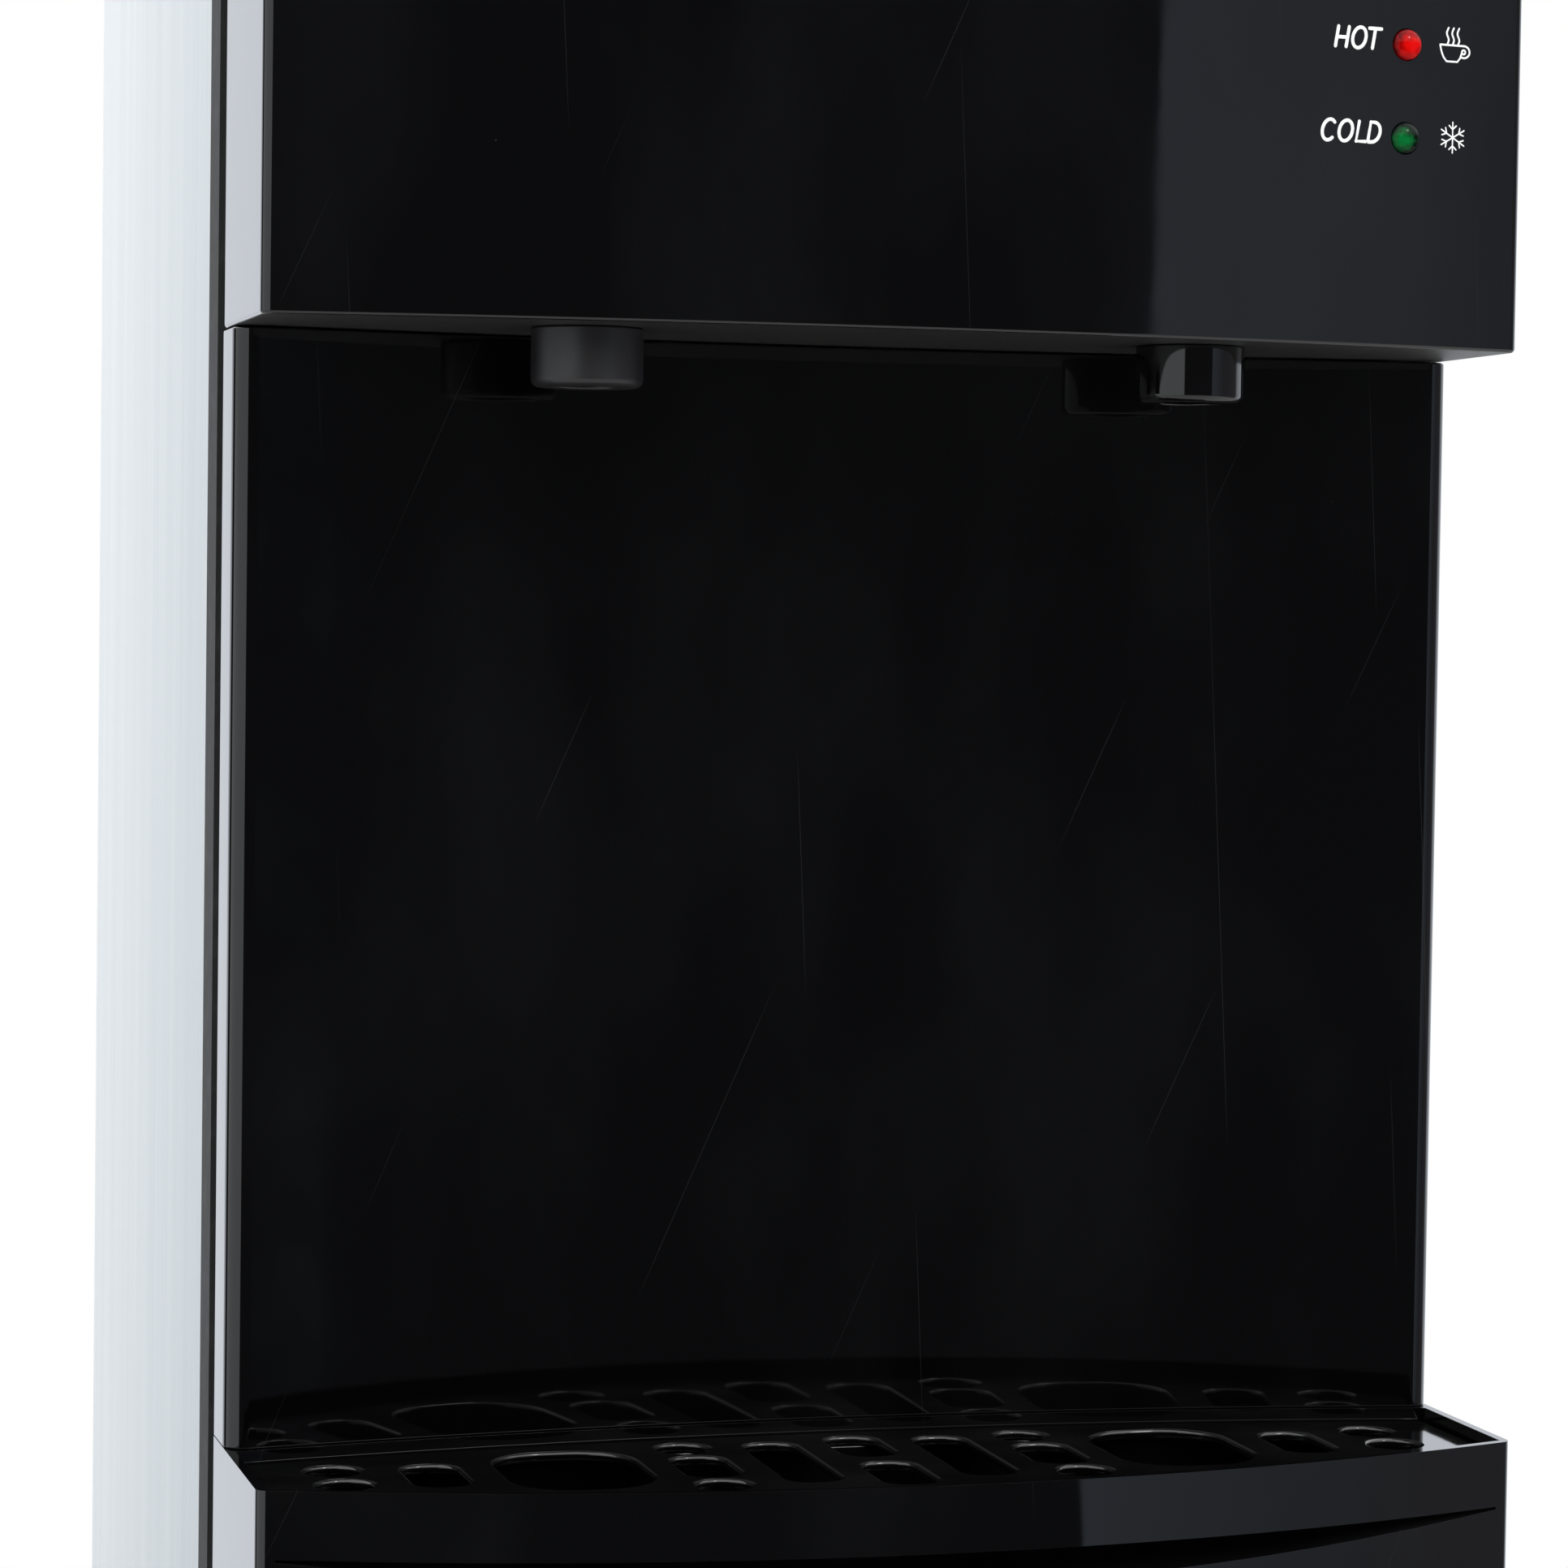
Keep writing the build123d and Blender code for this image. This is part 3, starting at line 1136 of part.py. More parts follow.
with BuildPart() as cord_inlet:
    with BuildSketch(Plane(origin=(cord_x, 0, cord_z), x_dir=(1, 0, 0), z_dir=(0, 0, 1))):
        Polygon(
            (cord_bore, panel_in_y - 4), (13, panel_in_y - 4), (13, panel_in_y - 0.1), (9.5, panel_in_y - 0.1),
            (9.5, rear_panel_y + 0.1), (13, rear_panel_y + 0.1), (13, rear_panel_y + 2.6), (8.5, rear_panel_y + 4),
            (7.5, rear_panel_y + 14), (cord_bore, rear_panel_y + 14), align=None,
        )
    revolve(axis=Axis((cord_x, 0, cord_z), (0, 1, 0)))
save(cord_inlet, "cord_inlet")

bezel_front_y = rear_panel_y - 16.8
rocker_y = rear_panel_y - 4.4
pocket_wide = rocker_wide + 0.6
pocket_high = 2 * rocker_r + 1.6
pin_r = 2.0
with BuildPart() as switch_bezel:
    with Locations((switch_x, (bezel_front_y + rear_panel_y) / 2, switch_z)):
        Box(bezel_wide - 5.4, rear_panel_y - bezel_front_y + 0.3, bezel_high - 5.4)
    with Locations((switch_x, rear_panel_y + 1.35, switch_z)):
        Box(bezel_wide, 2.5, bezel_high)
    fillet(switch_bezel.faces().sort_by(Axis.Y)[-1].edges(), 1.0)
    for z in switch_rows:
        with Locations((switch_x, rocker_y - 8.0, z)):
            Box(
                pocket_wide, 40.0, pocket_high, mode=Mode.SUBTRACT,
                align=(Align.CENTER, Align.MIN, Align.CENTER),
            )
        with Locations((switch_x, rocker_y, z)):
            Cylinder(pin_r + running, pocket_wide + 5.0, rotation=(0, 90, 0), mode=Mode.SUBTRACT)
save(switch_bezel, "switch_bezel")

for z, name in zip(switch_rows, ("hot_switch", "cold_switch")):
    with BuildPart() as rocker:
        outward = (0, cos(radians(rocker_tilt)), -sin(radians(rocker_tilt)))
        with BuildSketch(Plane(origin=(switch_x, rocker_y, z), x_dir=outward, z_dir=(1, 0, 0))):
            Circle(rocker_r)
            with Locations((-rocker_r - 5, 0)):
                Rectangle(2 * rocker_r, 4 * rocker_r, mode=Mode.SUBTRACT)
            with BuildLine():
                Polyline((4.6, 0), (12.6, 14.0), (12.6, -14.0), close=True)
            make_face(mode=Mode.SUBTRACT)
        extrude(amount=rocker_wide / 2, both=True)
        with Locations((switch_x, rocker_y, z)):
            Cylinder(pin_r, pocket_wide + 3.0, rotation=(0, 90, 0))
    save(rocker, name)

box_low_z = 250.0
box_high_z = 340.0
with BuildPart() as control_box:
    with Locations((cable_x, (service_y + panel_in_y - 0.1) / 2, (box_low_z + box_high_z) / 2)):
        Box(60.0, panel_in_y - 0.1 - service_y, box_high_z - box_low_z)
    fillet(control_box.faces().sort_by(Axis.Y)[0].edges(), 3.0)
save(control_box, "control_box")

# Wiring: one cable to each electrical part
cable_r = 2.5
cable_y = chimney_y + 4.0
over_z = post_top_z + 3.0
box_top = box_high_z + 0.1
behind_head_y = head_back_y + 4.0
runs = [
    [
        (cable_x - 22, cable_y, box_top), (cable_x - 22, cable_y, switch_z - bezel_high),
        (cable_x - 22, cable_y + 9, switch_z - bezel_high + 17), (cable_x - 22, cable_y + 9, switch_z - bezel_high / 2 + 2.6),
    ],
    [
        (cable_x - 12, cable_y, box_top), (cable_x - 12, cable_y, over_z), (cable_x - 12, behind_head_y, over_z),
        (lamp_x, behind_head_y, over_z), (lamp_x, behind_head_y, peg_z), (lamp_x, board_y + board_thick + 0.1, peg_z),
    ],
    [
        (cable_x + 10, service_y + 10, box_low_z - 0.1), (cable_x + 10, service_y + 10, box_low_z - 50), (cable_x + 5, compressor_y, box_low_z - 50),
        (cable_x + 5, compressor_y, relay_top_z + 0.1),
    ],
    [
        (cable_x + 16, cable_y - 2, box_top), (cable_x + 16, cable_y - 2, side_port_z),
        (cable_x + 16, hot_y, side_port_z), (heater_end - 0.3, hot_y, side_port_z),
    ],
    [
        (cable_x + 8, cable_y - 2, box_top), (cable_x + 8, cable_y - 2, hot_top_z + 4),
        (thermostat_places[1][0] - thermostat_r - 1.5, thermostat_places[1][1], hot_top_z + 4),
    ],
    [(cord_x, panel_in_y - 4.1, cord_z), (cord_x, cable_y - 2, cord_z), (cord_x, cable_y - 2, box_low_z - 0.1)],
]
with BuildPart() as wiring:
    for points in runs:
        add(tube(points, 8.0, cable_r).part)
save(wiring, "wiring")

# Screws through the rear panel into the shelves, and the compressor's bolts
with BuildPart() as screws:
    for x, z in screw_places:
        with BuildSketch(Plane(origin=(x, 0, z), x_dir=(1, 0, 0), z_dir=(0, 0, 1))):
            Polygon(
                (0, rear_panel_y - 9.75), (screw_hole - 0.1, rear_panel_y - 8.25), (screw_hole - 0.1, rear_panel_y + 0.02), (4, rear_panel_y + 0.02),
                (3.4, rear_panel_y + 2.2), (1.2, rear_panel_y + 2.2), (1.2, rear_panel_y + 1.2), (0, rear_panel_y + 1.2),
                align=None,
            )
        revolve(axis=Axis((x, 0, z), (0, 1, 0)))
    for x, y in mount_places:
        with BuildSketch(Plane(origin=(x, y, 0), x_dir=(1, 0, 0), z_dir=(0, -1, 0))):
            head = foot_height
            over = plate_z + 7.05
            Polygon(
                (0, head - 4), (5.5, head - 4), (5.5, head), (bolt_r, head), (bolt_r, over), (8, over), (8, over + 2),
                (5.5, over + 2), (5.5, over + 6), (bolt_r, over + 6), (bolt_r, over + 9), (0, over + 9), align=None,
            )
        revolve(axis=Axis((x, y, 0), (0, 0, 1)))
save(screws, "screws")
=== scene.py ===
import json
import math

import bmesh
import bpy
from mathutils import Matrix, Vector

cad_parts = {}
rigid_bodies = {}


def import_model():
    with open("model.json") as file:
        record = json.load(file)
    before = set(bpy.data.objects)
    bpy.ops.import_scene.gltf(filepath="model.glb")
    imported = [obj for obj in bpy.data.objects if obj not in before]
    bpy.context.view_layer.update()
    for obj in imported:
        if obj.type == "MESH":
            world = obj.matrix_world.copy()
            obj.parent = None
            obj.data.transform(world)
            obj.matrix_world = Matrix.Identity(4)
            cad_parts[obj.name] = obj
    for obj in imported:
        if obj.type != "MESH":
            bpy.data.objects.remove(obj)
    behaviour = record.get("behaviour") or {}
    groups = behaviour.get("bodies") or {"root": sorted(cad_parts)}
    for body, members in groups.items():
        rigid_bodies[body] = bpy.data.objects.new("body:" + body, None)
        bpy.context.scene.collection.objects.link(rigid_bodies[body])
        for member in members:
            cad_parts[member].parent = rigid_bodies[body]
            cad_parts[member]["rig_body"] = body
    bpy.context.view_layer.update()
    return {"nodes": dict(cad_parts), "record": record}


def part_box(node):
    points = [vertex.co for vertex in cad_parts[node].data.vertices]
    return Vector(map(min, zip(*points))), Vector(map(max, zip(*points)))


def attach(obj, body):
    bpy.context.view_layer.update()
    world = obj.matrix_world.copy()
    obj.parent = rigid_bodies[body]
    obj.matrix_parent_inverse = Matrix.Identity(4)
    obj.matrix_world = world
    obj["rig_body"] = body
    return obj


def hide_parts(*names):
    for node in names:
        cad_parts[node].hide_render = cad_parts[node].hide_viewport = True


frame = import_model()
scene = bpy.context.scene
scene.view_settings.view_transform = "Standard"
cad = frame["nodes"]
mm = 0.001


def hexColour(code):
    # sRGB hex to the linear values that the shaders take
    parts = [int(code[i : i + 2], 16) / 255 for i in (1, 3, 5)]
    return (*[p / 12.92 if p <= 0.04045 else ((p + 0.055) / 1.055) ** 2.4 for p in parts], 1.0)


def addNode(tree, kind, sockets=None, **settings):
    # a node, its settings, and for each input a value, a hex colour or the socket that feeds it
    node = tree.nodes.new(kind)
    for name, value in settings.items():
        setattr(node, name, value)
    for key, value in (sockets or {}).items():
        if isinstance(value, bpy.types.NodeSocket):
            tree.links.new(value, node.inputs[key])
        elif isinstance(value, str):
            node.inputs[key].default_value = hexColour(value)
        else:
            node.inputs[key].default_value = value
    return node


# ---- camera: standing to the left of the front, level with the alcove
camera = {
    "place": (-0.30777, -1.15252, 0.82886),  # metres from the middle of the foot
    "turn": 0.26896,  # radians to the right
    "down": 0.03869,
    "roll": -0.01379,
    "lens": 101.866,  # mm, on a 36 mm sensor
}
sinTurn, cosTurn = math.sin(camera["turn"]), math.cos(camera["turn"])
look = Vector((sinTurn * math.cos(camera["down"]), cosTurn * math.cos(camera["down"]), -math.sin(camera["down"])))
across = Vector((cosTurn, -sinTurn, 0))
below = look.cross(across)
cosRoll, sinRoll = math.cos(camera["roll"]), math.sin(camera["roll"])
cameraData = bpy.data.cameras.new("camera")
cameraData.lens = camera["lens"]
cameraData.sensor_width = 36
cameraObject = bpy.data.objects.new("camera", cameraData)
turned = Matrix((cosRoll * across + sinRoll * below, sinRoll * across - cosRoll * below, -look)).transposed()
cameraObject.matrix_world = Matrix.Translation(camera["place"]) @ turned.to_4x4()
scene.collection.objects.link(cameraObject)
scene.camera = cameraObject
print("camera placed")

# ---- studio: what the gloss mirrors is dark in front, white round the sides and above, and a grey wall at the right
studio = {
    # sRGB colour and strength
    "front": ("#f4f8ff", 0.05),
    "wall": ("#d9e6f8", 0.58),
    "wallFar": ("#e6e6f0", 0.26),
    "left": ("#f0f4f6", 1.3),
    "gap": ("#ffffff", 0.05),
    "behind": ("#f2f7ff", 1.4),
    "above": ("#ffffff", 2.4),
    # from where to where a part fades in: radians right of the front, and for the last one the slope upwards
    "wallEdge": (0.4787, 0.4847),
    "wallFades": (0.4817, 0.9817),
    "rightBehind": (1.6, 1.75),
    "leftFrom": (-0.54, -0.58),
    "gapFrom": (-2.05, -2.08),
    "leftBehind": (-2.38, -2.42),
    "aboveFrom": (0.2, 0.45),
    "fill": 0.5,  # on matt surfaces, from all round
}


def glowOf(part):
    colour, strength = studio[part]
    return (*[c * strength for c in hexColour(colour)[:3]], 1.0)


world = bpy.data.worlds.new("studio")
scene.world = world
world.use_nodes = True
tree = world.node_tree
tree.nodes.clear()
axes = addNode(
    tree, "ShaderNodeSeparateXYZ", {0: addNode(tree, "ShaderNodeTexCoord").outputs["Generated"]}
).outputs
rays = addNode(tree, "ShaderNodeLightPath").outputs
toFront = addNode(tree, "ShaderNodeMath", {0: axes["Y"], 1: -1.0}, operation="MULTIPLY").outputs[0]
turn = addNode(tree, "ShaderNodeMath", {0: axes["X"], 1: toFront}, operation="ARCTAN2").outputs[0]
zones = [
    # what is measured, where the part fades in, and the part
    (turn, "wallEdge", "wall"),
    (turn, "wallFades", "wallFar"),
    (turn, "rightBehind", "behind"),
    (turn, "leftFrom", "left"),
    (turn, "gapFrom", "gap"),
    (turn, "leftBehind", "behind"),
    (axes["Z"], "aboveFrom", "above"),
]
mirrored = glowOf("front")
for source, fade, part in zones:
    low, high = studio[fade]
    share = addNode(tree, "ShaderNodeMapRange", {0: source, 1: low, 2: high}).outputs[0]
    mirrored = addNode(tree, "ShaderNodeMix", {0: share, 6: mirrored, 7: glowOf(part)}, data_type="RGBA").outputs[2]
seen = (studio["fill"],) * 3 + (1.0,)
for ray, value in (("Is Glossy Ray", mirrored), ("Is Camera Ray", "#ffffff"), ("Is Transmission Ray", "#ffffff")):
    seen = addNode(tree, "ShaderNodeMix", {0: rays[ray], 6: seen, 7: value}, data_type="RGBA").outputs[2]
background = addNode(tree, "ShaderNodeBackground", {0: seen})
addNode(tree, "ShaderNodeOutputWorld", {0: background.outputs[0]})

softBoxes = {
    # place, size in metres, watts: they light matt surfaces, and only the small one shows in the gloss
    "leftBox": ((-1.8, -0.4, 1.5), (1.2, 1.6), 14.0),
    "topBox": ((0.2, -0.9, 2.4), (1.4, 1.0), 18.0),
    "rightBox": ((1.7, -0.9, 1.2), (1.0, 1.6), 12.0),
    "backBox": ((0.0, 1.8, 1.6), (1.4, 1.4), 14.0),
    "sparkBox": ((0.75, -1.5, 2.0), (0.28, 0.28), 5.0),
}
for name, (spot, size, watts) in softBoxes.items():
    light = bpy.data.lights.new(name, "AREA")
    light.shape = "RECTANGLE"
    light.size, light.size_y = size
    light.energy = watts
    lamp = bpy.data.objects.new(name, light)
    lamp.location = spot
    lamp.rotation_euler = (Vector((0, 0, 0.6)) - Vector(spot)).to_track_quat("-Z", "Y").to_euler()
    lamp.visible_glossy = name == "sparkBox"
    scene.collection.objects.link(lamp)
print("studio lit")


# ---- finishes
def startFinish(name, **values):
    # a bare finish: its shader, with the values that are the same all over, and the place on the piece in metres
    material = bpy.data.materials.new(name)
    material.use_nodes = True
    tree = material.node_tree
    tree.nodes.clear()
    shader = addNode(tree, "ShaderNodeBsdfPrincipled", {k.replace("_", " "): v for k, v in values.items()})
    addNode(tree, "ShaderNodeOutputMaterial", {0: shader.outputs[0]})
    spot = addNode(tree, "ShaderNodeTexCoord").outputs["Object"]
    return material, tree, shader, spot


def mottle(tree, spot, size, low, high, dark=0.0, bright=1.0, detail=2.0, longer=(1, 1, 1)):
    # soft blotches this many millimetres across, from dark to bright, drawn out along an axis if longer there
    scale = [1 / (size * mm * along) for along in longer]
    stretched = addNode(tree, "ShaderNodeMapping", {0: spot, "Scale": scale}).outputs[0]
    cloud = addNode(tree, "ShaderNodeTexNoise", {"Vector": stretched, "Scale": 1.0, "Detail": detail}).outputs[0]
    return addNode(tree, "ShaderNodeMapRange", {0: cloud, 1: low, 2: high, 3: dark, 4: bright}).outputs[0]


def wipeMarks(tree, spot, gap, length, width, lean):
    # straight hairlines left by a cloth: each runs part of the way along its own lane
    turned = addNode(tree, "ShaderNodeMapping", {0: spot, "Rotation": (0, lean, 0)}).outputs[0]
    scale = (1 / (gap * mm), 1 / (length * mm), 1 / (length * mm))
    lanes = addNode(tree, "ShaderNodeMapping", {0: turned, "Scale": scale}).outputs[0]
    parts = addNode(tree, "ShaderNodeSeparateXYZ", {0: lanes}).outputs
    lane = addNode(tree, "ShaderNodeMath", {0: parts[0]}, operation="FLOOR").outputs[0]
    inLane = addNode(tree, "ShaderNodeMath", {0: parts[0]}, operation="FRACT").outputs[0]
    chance = addNode(tree, "ShaderNodeTexWhiteNoise", {"W": lane}, noise_dimensions="1D").outputs["Value"]
    near = addNode(tree, "ShaderNodeMath", {0: inLane, 1: chance, 2: width / gap}, operation="COMPARE").outputs[0]
    shifted = addNode(tree, "ShaderNodeMath", {0: lane, 1: 7.31}, operation="MULTIPLY").outputs[0]
    along = addNode(tree, "ShaderNodeCombineXYZ", {0: shifted, 2: parts[2]}).outputs[0]
    run = addNode(tree, "ShaderNodeTexNoise", {"Vector": along, "Scale": 1.0, "Detail": 0.0}).outputs[0]
    run = addNode(tree, "ShaderNodeMapRange", {0: run, 1: 0.56, 2: 0.68}).outputs[0]
    return addNode(tree, "ShaderNodeMath", {0: near, 1: run}, operation="MULTIPLY").outputs[0]


def dustGrains(tree, spot, gap, grain):
    # single pale grains, in a few cells of a loose grid
    cells = addNode(tree, "ShaderNodeTexVoronoi", {"Vector": spot, "Scale": 1 / (gap * mm)})
    near = addNode(
        tree, "ShaderNodeMapRange", {0: cells.outputs["Distance"], 1: grain / gap, 2: grain / gap / 2}
    ).outputs[0]
    pick = addNode(tree, "ShaderNodeSeparateColor", {0: cells.outputs["Color"]}).outputs[0]
    pick = addNode(tree, "ShaderNodeMath", {0: pick, 1: 0.6}, operation="GREATER_THAN").outputs[0]
    return addNode(tree, "ShaderNodeMath", {0: near, 1: pick}, operation="MULTIPLY").outputs[0]


def polishedAbs(name, colour, roughness=0.035, wave=12.0, handledAndUnderlit=True):
    # high-gloss ABS straight from a polished mould: a deep face, sharp and slightly wavy mirror images,
    # a haze of wiping, thin hairlines, single grains of dust, and paler undersides that are partly painted light
    material, tree, shader, spot = startFinish(name, IOR=1.53)
    haze = mottle(tree, spot, 55, 0.45, 0.75, 0.0, 0.012, 5.0, (1, 1, 2.5))
    if handledAndUnderlit:
        for gap, length, lean in ((47, 90, 0.05), (71, 60, -0.42)):
            marks = wipeMarks(tree, spot, gap, length, 0.08, lean)
            faint = addNode(tree, "ShaderNodeMath", {0: marks, 1: 0.05}, operation="MULTIPLY").outputs[0]
            haze = addNode(tree, "ShaderNodeMath", {0: haze, 1: faint}, operation="MAXIMUM").outputs[0]
        grains = dustGrains(tree, spot, 14.0, 0.13)
        grains = addNode(tree, "ShaderNodeMath", {0: grains, 1: 0.35}, operation="MULTIPLY").outputs[0]
        haze = addNode(tree, "ShaderNodeMath", {0: haze, 1: grains}, operation="MAXIMUM").outputs[0]
    tint = addNode(tree, "ShaderNodeMix", {0: haze, 6: colour, 7: "#8d8f93"}, data_type="RGBA").outputs[2]
    rough = mottle(tree, spot, 40, 0.35, 0.7, roughness * 0.6, roughness * 1.6, 3.0)
    waves = mottle(tree, spot, wave, 0.3, 0.7, detail=0.0)
    bumped = addNode(tree, "ShaderNodeBump", {"Height": waves, "Distance": 0.004 * mm}).outputs[0]
    tree.links.new(bumped, shader.inputs["Normal"])
    if handledAndUnderlit:
        # faces that look down keep the mould's dull grain and get a paler grey: partly a little dust, partly painted
        # light that lifts the underside
        facing = addNode(tree, "ShaderNodeNewGeometry").outputs["Normal"]
        height = addNode(tree, "ShaderNodeSeparateXYZ", {0: facing}).outputs[2]
        under = addNode(tree, "ShaderNodeMapRange", {0: height, 1: -0.8, 2: -0.95}).outputs[0]
        grain = mottle(tree, spot, 0.9, 0.35, 0.7, detail=4.0)
        grainAndPaintedLift = addNode(tree, "ShaderNodeMix", {0: grain, 6: "#0a0a0a", 7: "#242422"}, data_type="RGBA").outputs[2]
        tint = addNode(tree, "ShaderNodeMix", {0: under, 6: tint, 7: grainAndPaintedLift}, data_type="RGBA").outputs[2]
        rough = addNode(tree, "ShaderNodeMix", {0: under, 2: rough, 3: 0.5}).outputs[0]
    tree.links.new(tint, shader.inputs["Base Color"])
    tree.links.new(rough, shader.inputs["Roughness"])
    return material


def sparkedPlastic(name, colour, pale, roughness=0.45, grain=0.5):
    # plastic from a spark-eroded mould: an even fine grain and a soft sheen
    material, tree, shader, spot = startFinish(name, IOR=1.5)
    patch = mottle(tree, spot, 24, 0.35, 0.7, detail=4.0)
    tint = addNode(tree, "ShaderNodeMix", {0: patch, 6: colour, 7: pale}, data_type="RGBA").outputs[2]
    tree.links.new(tint, shader.inputs["Base Color"])
    rough = mottle(tree, spot, 13, 0.3, 0.7, roughness * 0.85, roughness * 1.15, 3.0)
    tree.links.new(rough, shader.inputs["Roughness"])
    grains = mottle(tree, spot, grain, 0.3, 0.7)
    bumped = addNode(tree, "ShaderNodeBump", {"Height": grains, "Distance": 0.015 * mm}).outputs[0]
    tree.links.new(bumped, shader.inputs["Normal"])
    return material


def rolledSheet(name, light, dark, metallic, roughness, bands=14.0, length=60.0, paintedLightFades=(), streak=1.0):
    # sheet with the grain of the rolls down it: soft grey bands and thin streaks, and where fades are given, paler
    # towards one end as painted light
    material, tree, shader, spot = startFinish(name, Metallic=metallic)
    broad = mottle(tree, spot, bands, 0.3, 0.7, 0.3 - 0.3 * streak, 0.3 + 0.3 * streak, 3.0, (1, 1, length))
    fine = mottle(tree, spot, 0.8, 0.3, 0.7, 0.2 - 0.2 * streak, 0.2 + 0.2 * streak, 2.0, (1, 1, length * 4))
    both = addNode(tree, "ShaderNodeMath", {0: broad, 1: fine}, operation="ADD").outputs[0]
    places = addNode(tree, "ShaderNodeSeparateXYZ", {0: spot}).outputs
    # painted light: each fade pales the colour towards one end of the sheet
    for axis, first, last, start, stop in paintedLightFades:
        paintedLightRamp = addNode(
            tree, "ShaderNodeMapRange", {0: places[axis], 1: first * mm, 2: last * mm, 3: start, 4: stop}
        ).outputs[0]
        both = addNode(tree, "ShaderNodeMath", {0: both, 1: paintedLightRamp}, operation="ADD").outputs[0]
    tint = addNode(tree, "ShaderNodeMix", {0: both, 6: dark, 7: light}, data_type="RGBA").outputs[2]
    tree.links.new(tint, shader.inputs["Base Color"])
    rough = mottle(tree, spot, bands, 0.3, 0.7, roughness * 0.85, roughness * 1.2, 3.0, (1, 1, length))
    tree.links.new(rough, shader.inputs["Roughness"])
    bumped = addNode(tree, "ShaderNodeBump", {"Height": fine, "Distance": 0.004 * mm}).outputs[0]
    tree.links.new(bumped, shader.inputs["Normal"])
    return material


def hotDipZinc(name):
    # hot-dip galvanised sheet: flat crystals 8 to 15 mm across, each its own grey
    material, tree, shader, spot = startFinish(name, Metallic=0.9)
    cells = addNode(tree, "ShaderNodeTexVoronoi", {"Vector": spot, "Scale": 1 / (11 * mm)}).outputs["Color"]
    tone = addNode(tree, "ShaderNodeSeparateColor", {0: cells}).outputs[0]
    tint = addNode(tree, "ShaderNodeMix", {0: tone, 6: "#a4a9ac", 7: "#c6cacc"}, data_type="RGBA").outputs[2]
    tree.links.new(tint, shader.inputs["Base Color"])
    rough = addNode(tree, "ShaderNodeMapRange", {0: tone, 3: 0.36, 4: 0.5}).outputs[0]
    tree.links.new(rough, shader.inputs["Roughness"])
    pits = mottle(tree, spot, 2.0, 0.3, 0.7, detail=3.0)
    bumped = addNode(tree, "ShaderNodeBump", {"Height": pits, "Distance": 0.008 * mm}).outputs[0]
    tree.links.new(bumped, shader.inputs["Normal"])
    return material


def drawnMetal(name, colour, grainAndPaintedLift, roughness):
    # drawn or turned metal: bright, with duller handled patches
    material, tree, shader, spot = startFinish(name, Metallic=1.0)
    patch = mottle(tree, spot, 9, 0.4, 0.65, detail=4.0)
    tint = addNode(tree, "ShaderNodeMix", {0: patch, 6: colour, 7: grainAndPaintedLift}, data_type="RGBA").outputs[2]
    tree.links.new(tint, shader.inputs["Base Color"])
    rough = addNode(tree, "ShaderNodeMapRange", {0: patch, 3: roughness, 4: roughness * 1.7}).outputs[0]
    tree.links.new(rough, shader.inputs["Roughness"])
    return material


def sprayedEnamel(name, colour, roughness=0.25):
    # gloss enamel sprayed on steel: orange peel about 2 mm across
    material, tree, shader, spot = startFinish(name, Base_Color=hexColour(colour))
    rough = mottle(tree, spot, 20, 0.3, 0.7, roughness * 0.8, roughness * 1.3, 3.0)
    tree.links.new(rough, shader.inputs["Roughness"])
    peel = mottle(tree, spot, 2.2, 0.3, 0.7, detail=1.0)
    bumped = addNode(tree, "ShaderNodeBump", {"Height": peel, "Distance": 0.01 * mm}).outputs[0]
    tree.links.new(bumped, shader.inputs["Normal"])
    return material


def mouldedRubber(name, colour, worn):
    # rubber: dull and dark, greyer where it has been rubbed
    material, tree, shader, spot = startFinish(name, Roughness=0.8)
    rubbed = mottle(tree, spot, 7, 0.5, 0.75, detail=4.0)
    tint = addNode(tree, "ShaderNodeMix", {0: rubbed, 6: colour, 7: worn}, data_type="RGBA").outputs[2]
    tree.links.new(tint, shader.inputs["Base Color"])
    skin = mottle(tree, spot, 0.6, 0.3, 0.7)
    bumped = addNode(tree, "ShaderNodeBump", {"Height": skin, "Distance": 0.02 * mm}).outputs[0]
    tree.links.new(bumped, shader.inputs["Normal"])
    return material


def foodSilicone(name):
    # food-grade silicone hose: milky, and light goes a little way in
    material, tree, shader, spot = startFinish(
        name, Roughness=0.4, Subsurface_Weight=0.3, Subsurface_Radius=(0.003, 0.003, 0.0025)
    )
    tone = mottle(tree, spot, 12, 0.3, 0.7, detail=3.0)
    tint = addNode(tree, "ShaderNodeMix", {0: tone, 6: "#cfccc2", 7: "#dedcd4"}, data_type="RGBA").outputs[2]
    tree.links.new(tint, shader.inputs["Base Color"])
    return material


def beadFoam(name):
    # expanded polystyrene: pressed beads 3 to 4 mm across with a darker line between them
    material, tree, shader, spot = startFinish(name, Roughness=0.75)
    away = addNode(
        tree, "ShaderNodeTexVoronoi", {"Vector": spot, "Scale": 1 / (3.6 * mm)}, feature="DISTANCE_TO_EDGE"
    ).outputs[0]
    bead = addNode(tree, "ShaderNodeMapRange", {0: away, 1: 0.0, 2: 0.16}).outputs[0]
    tint = addNode(tree, "ShaderNodeMix", {0: bead, 6: "#c4c0b4", 7: "#eceae2"}, data_type="RGBA").outputs[2]
    tree.links.new(tint, shader.inputs["Base Color"])
    bumped = addNode(tree, "ShaderNodeBump", {"Height": bead, "Distance": 0.12 * mm}).outputs[0]
    tree.links.new(bumped, shader.inputs["Normal"])
    return material


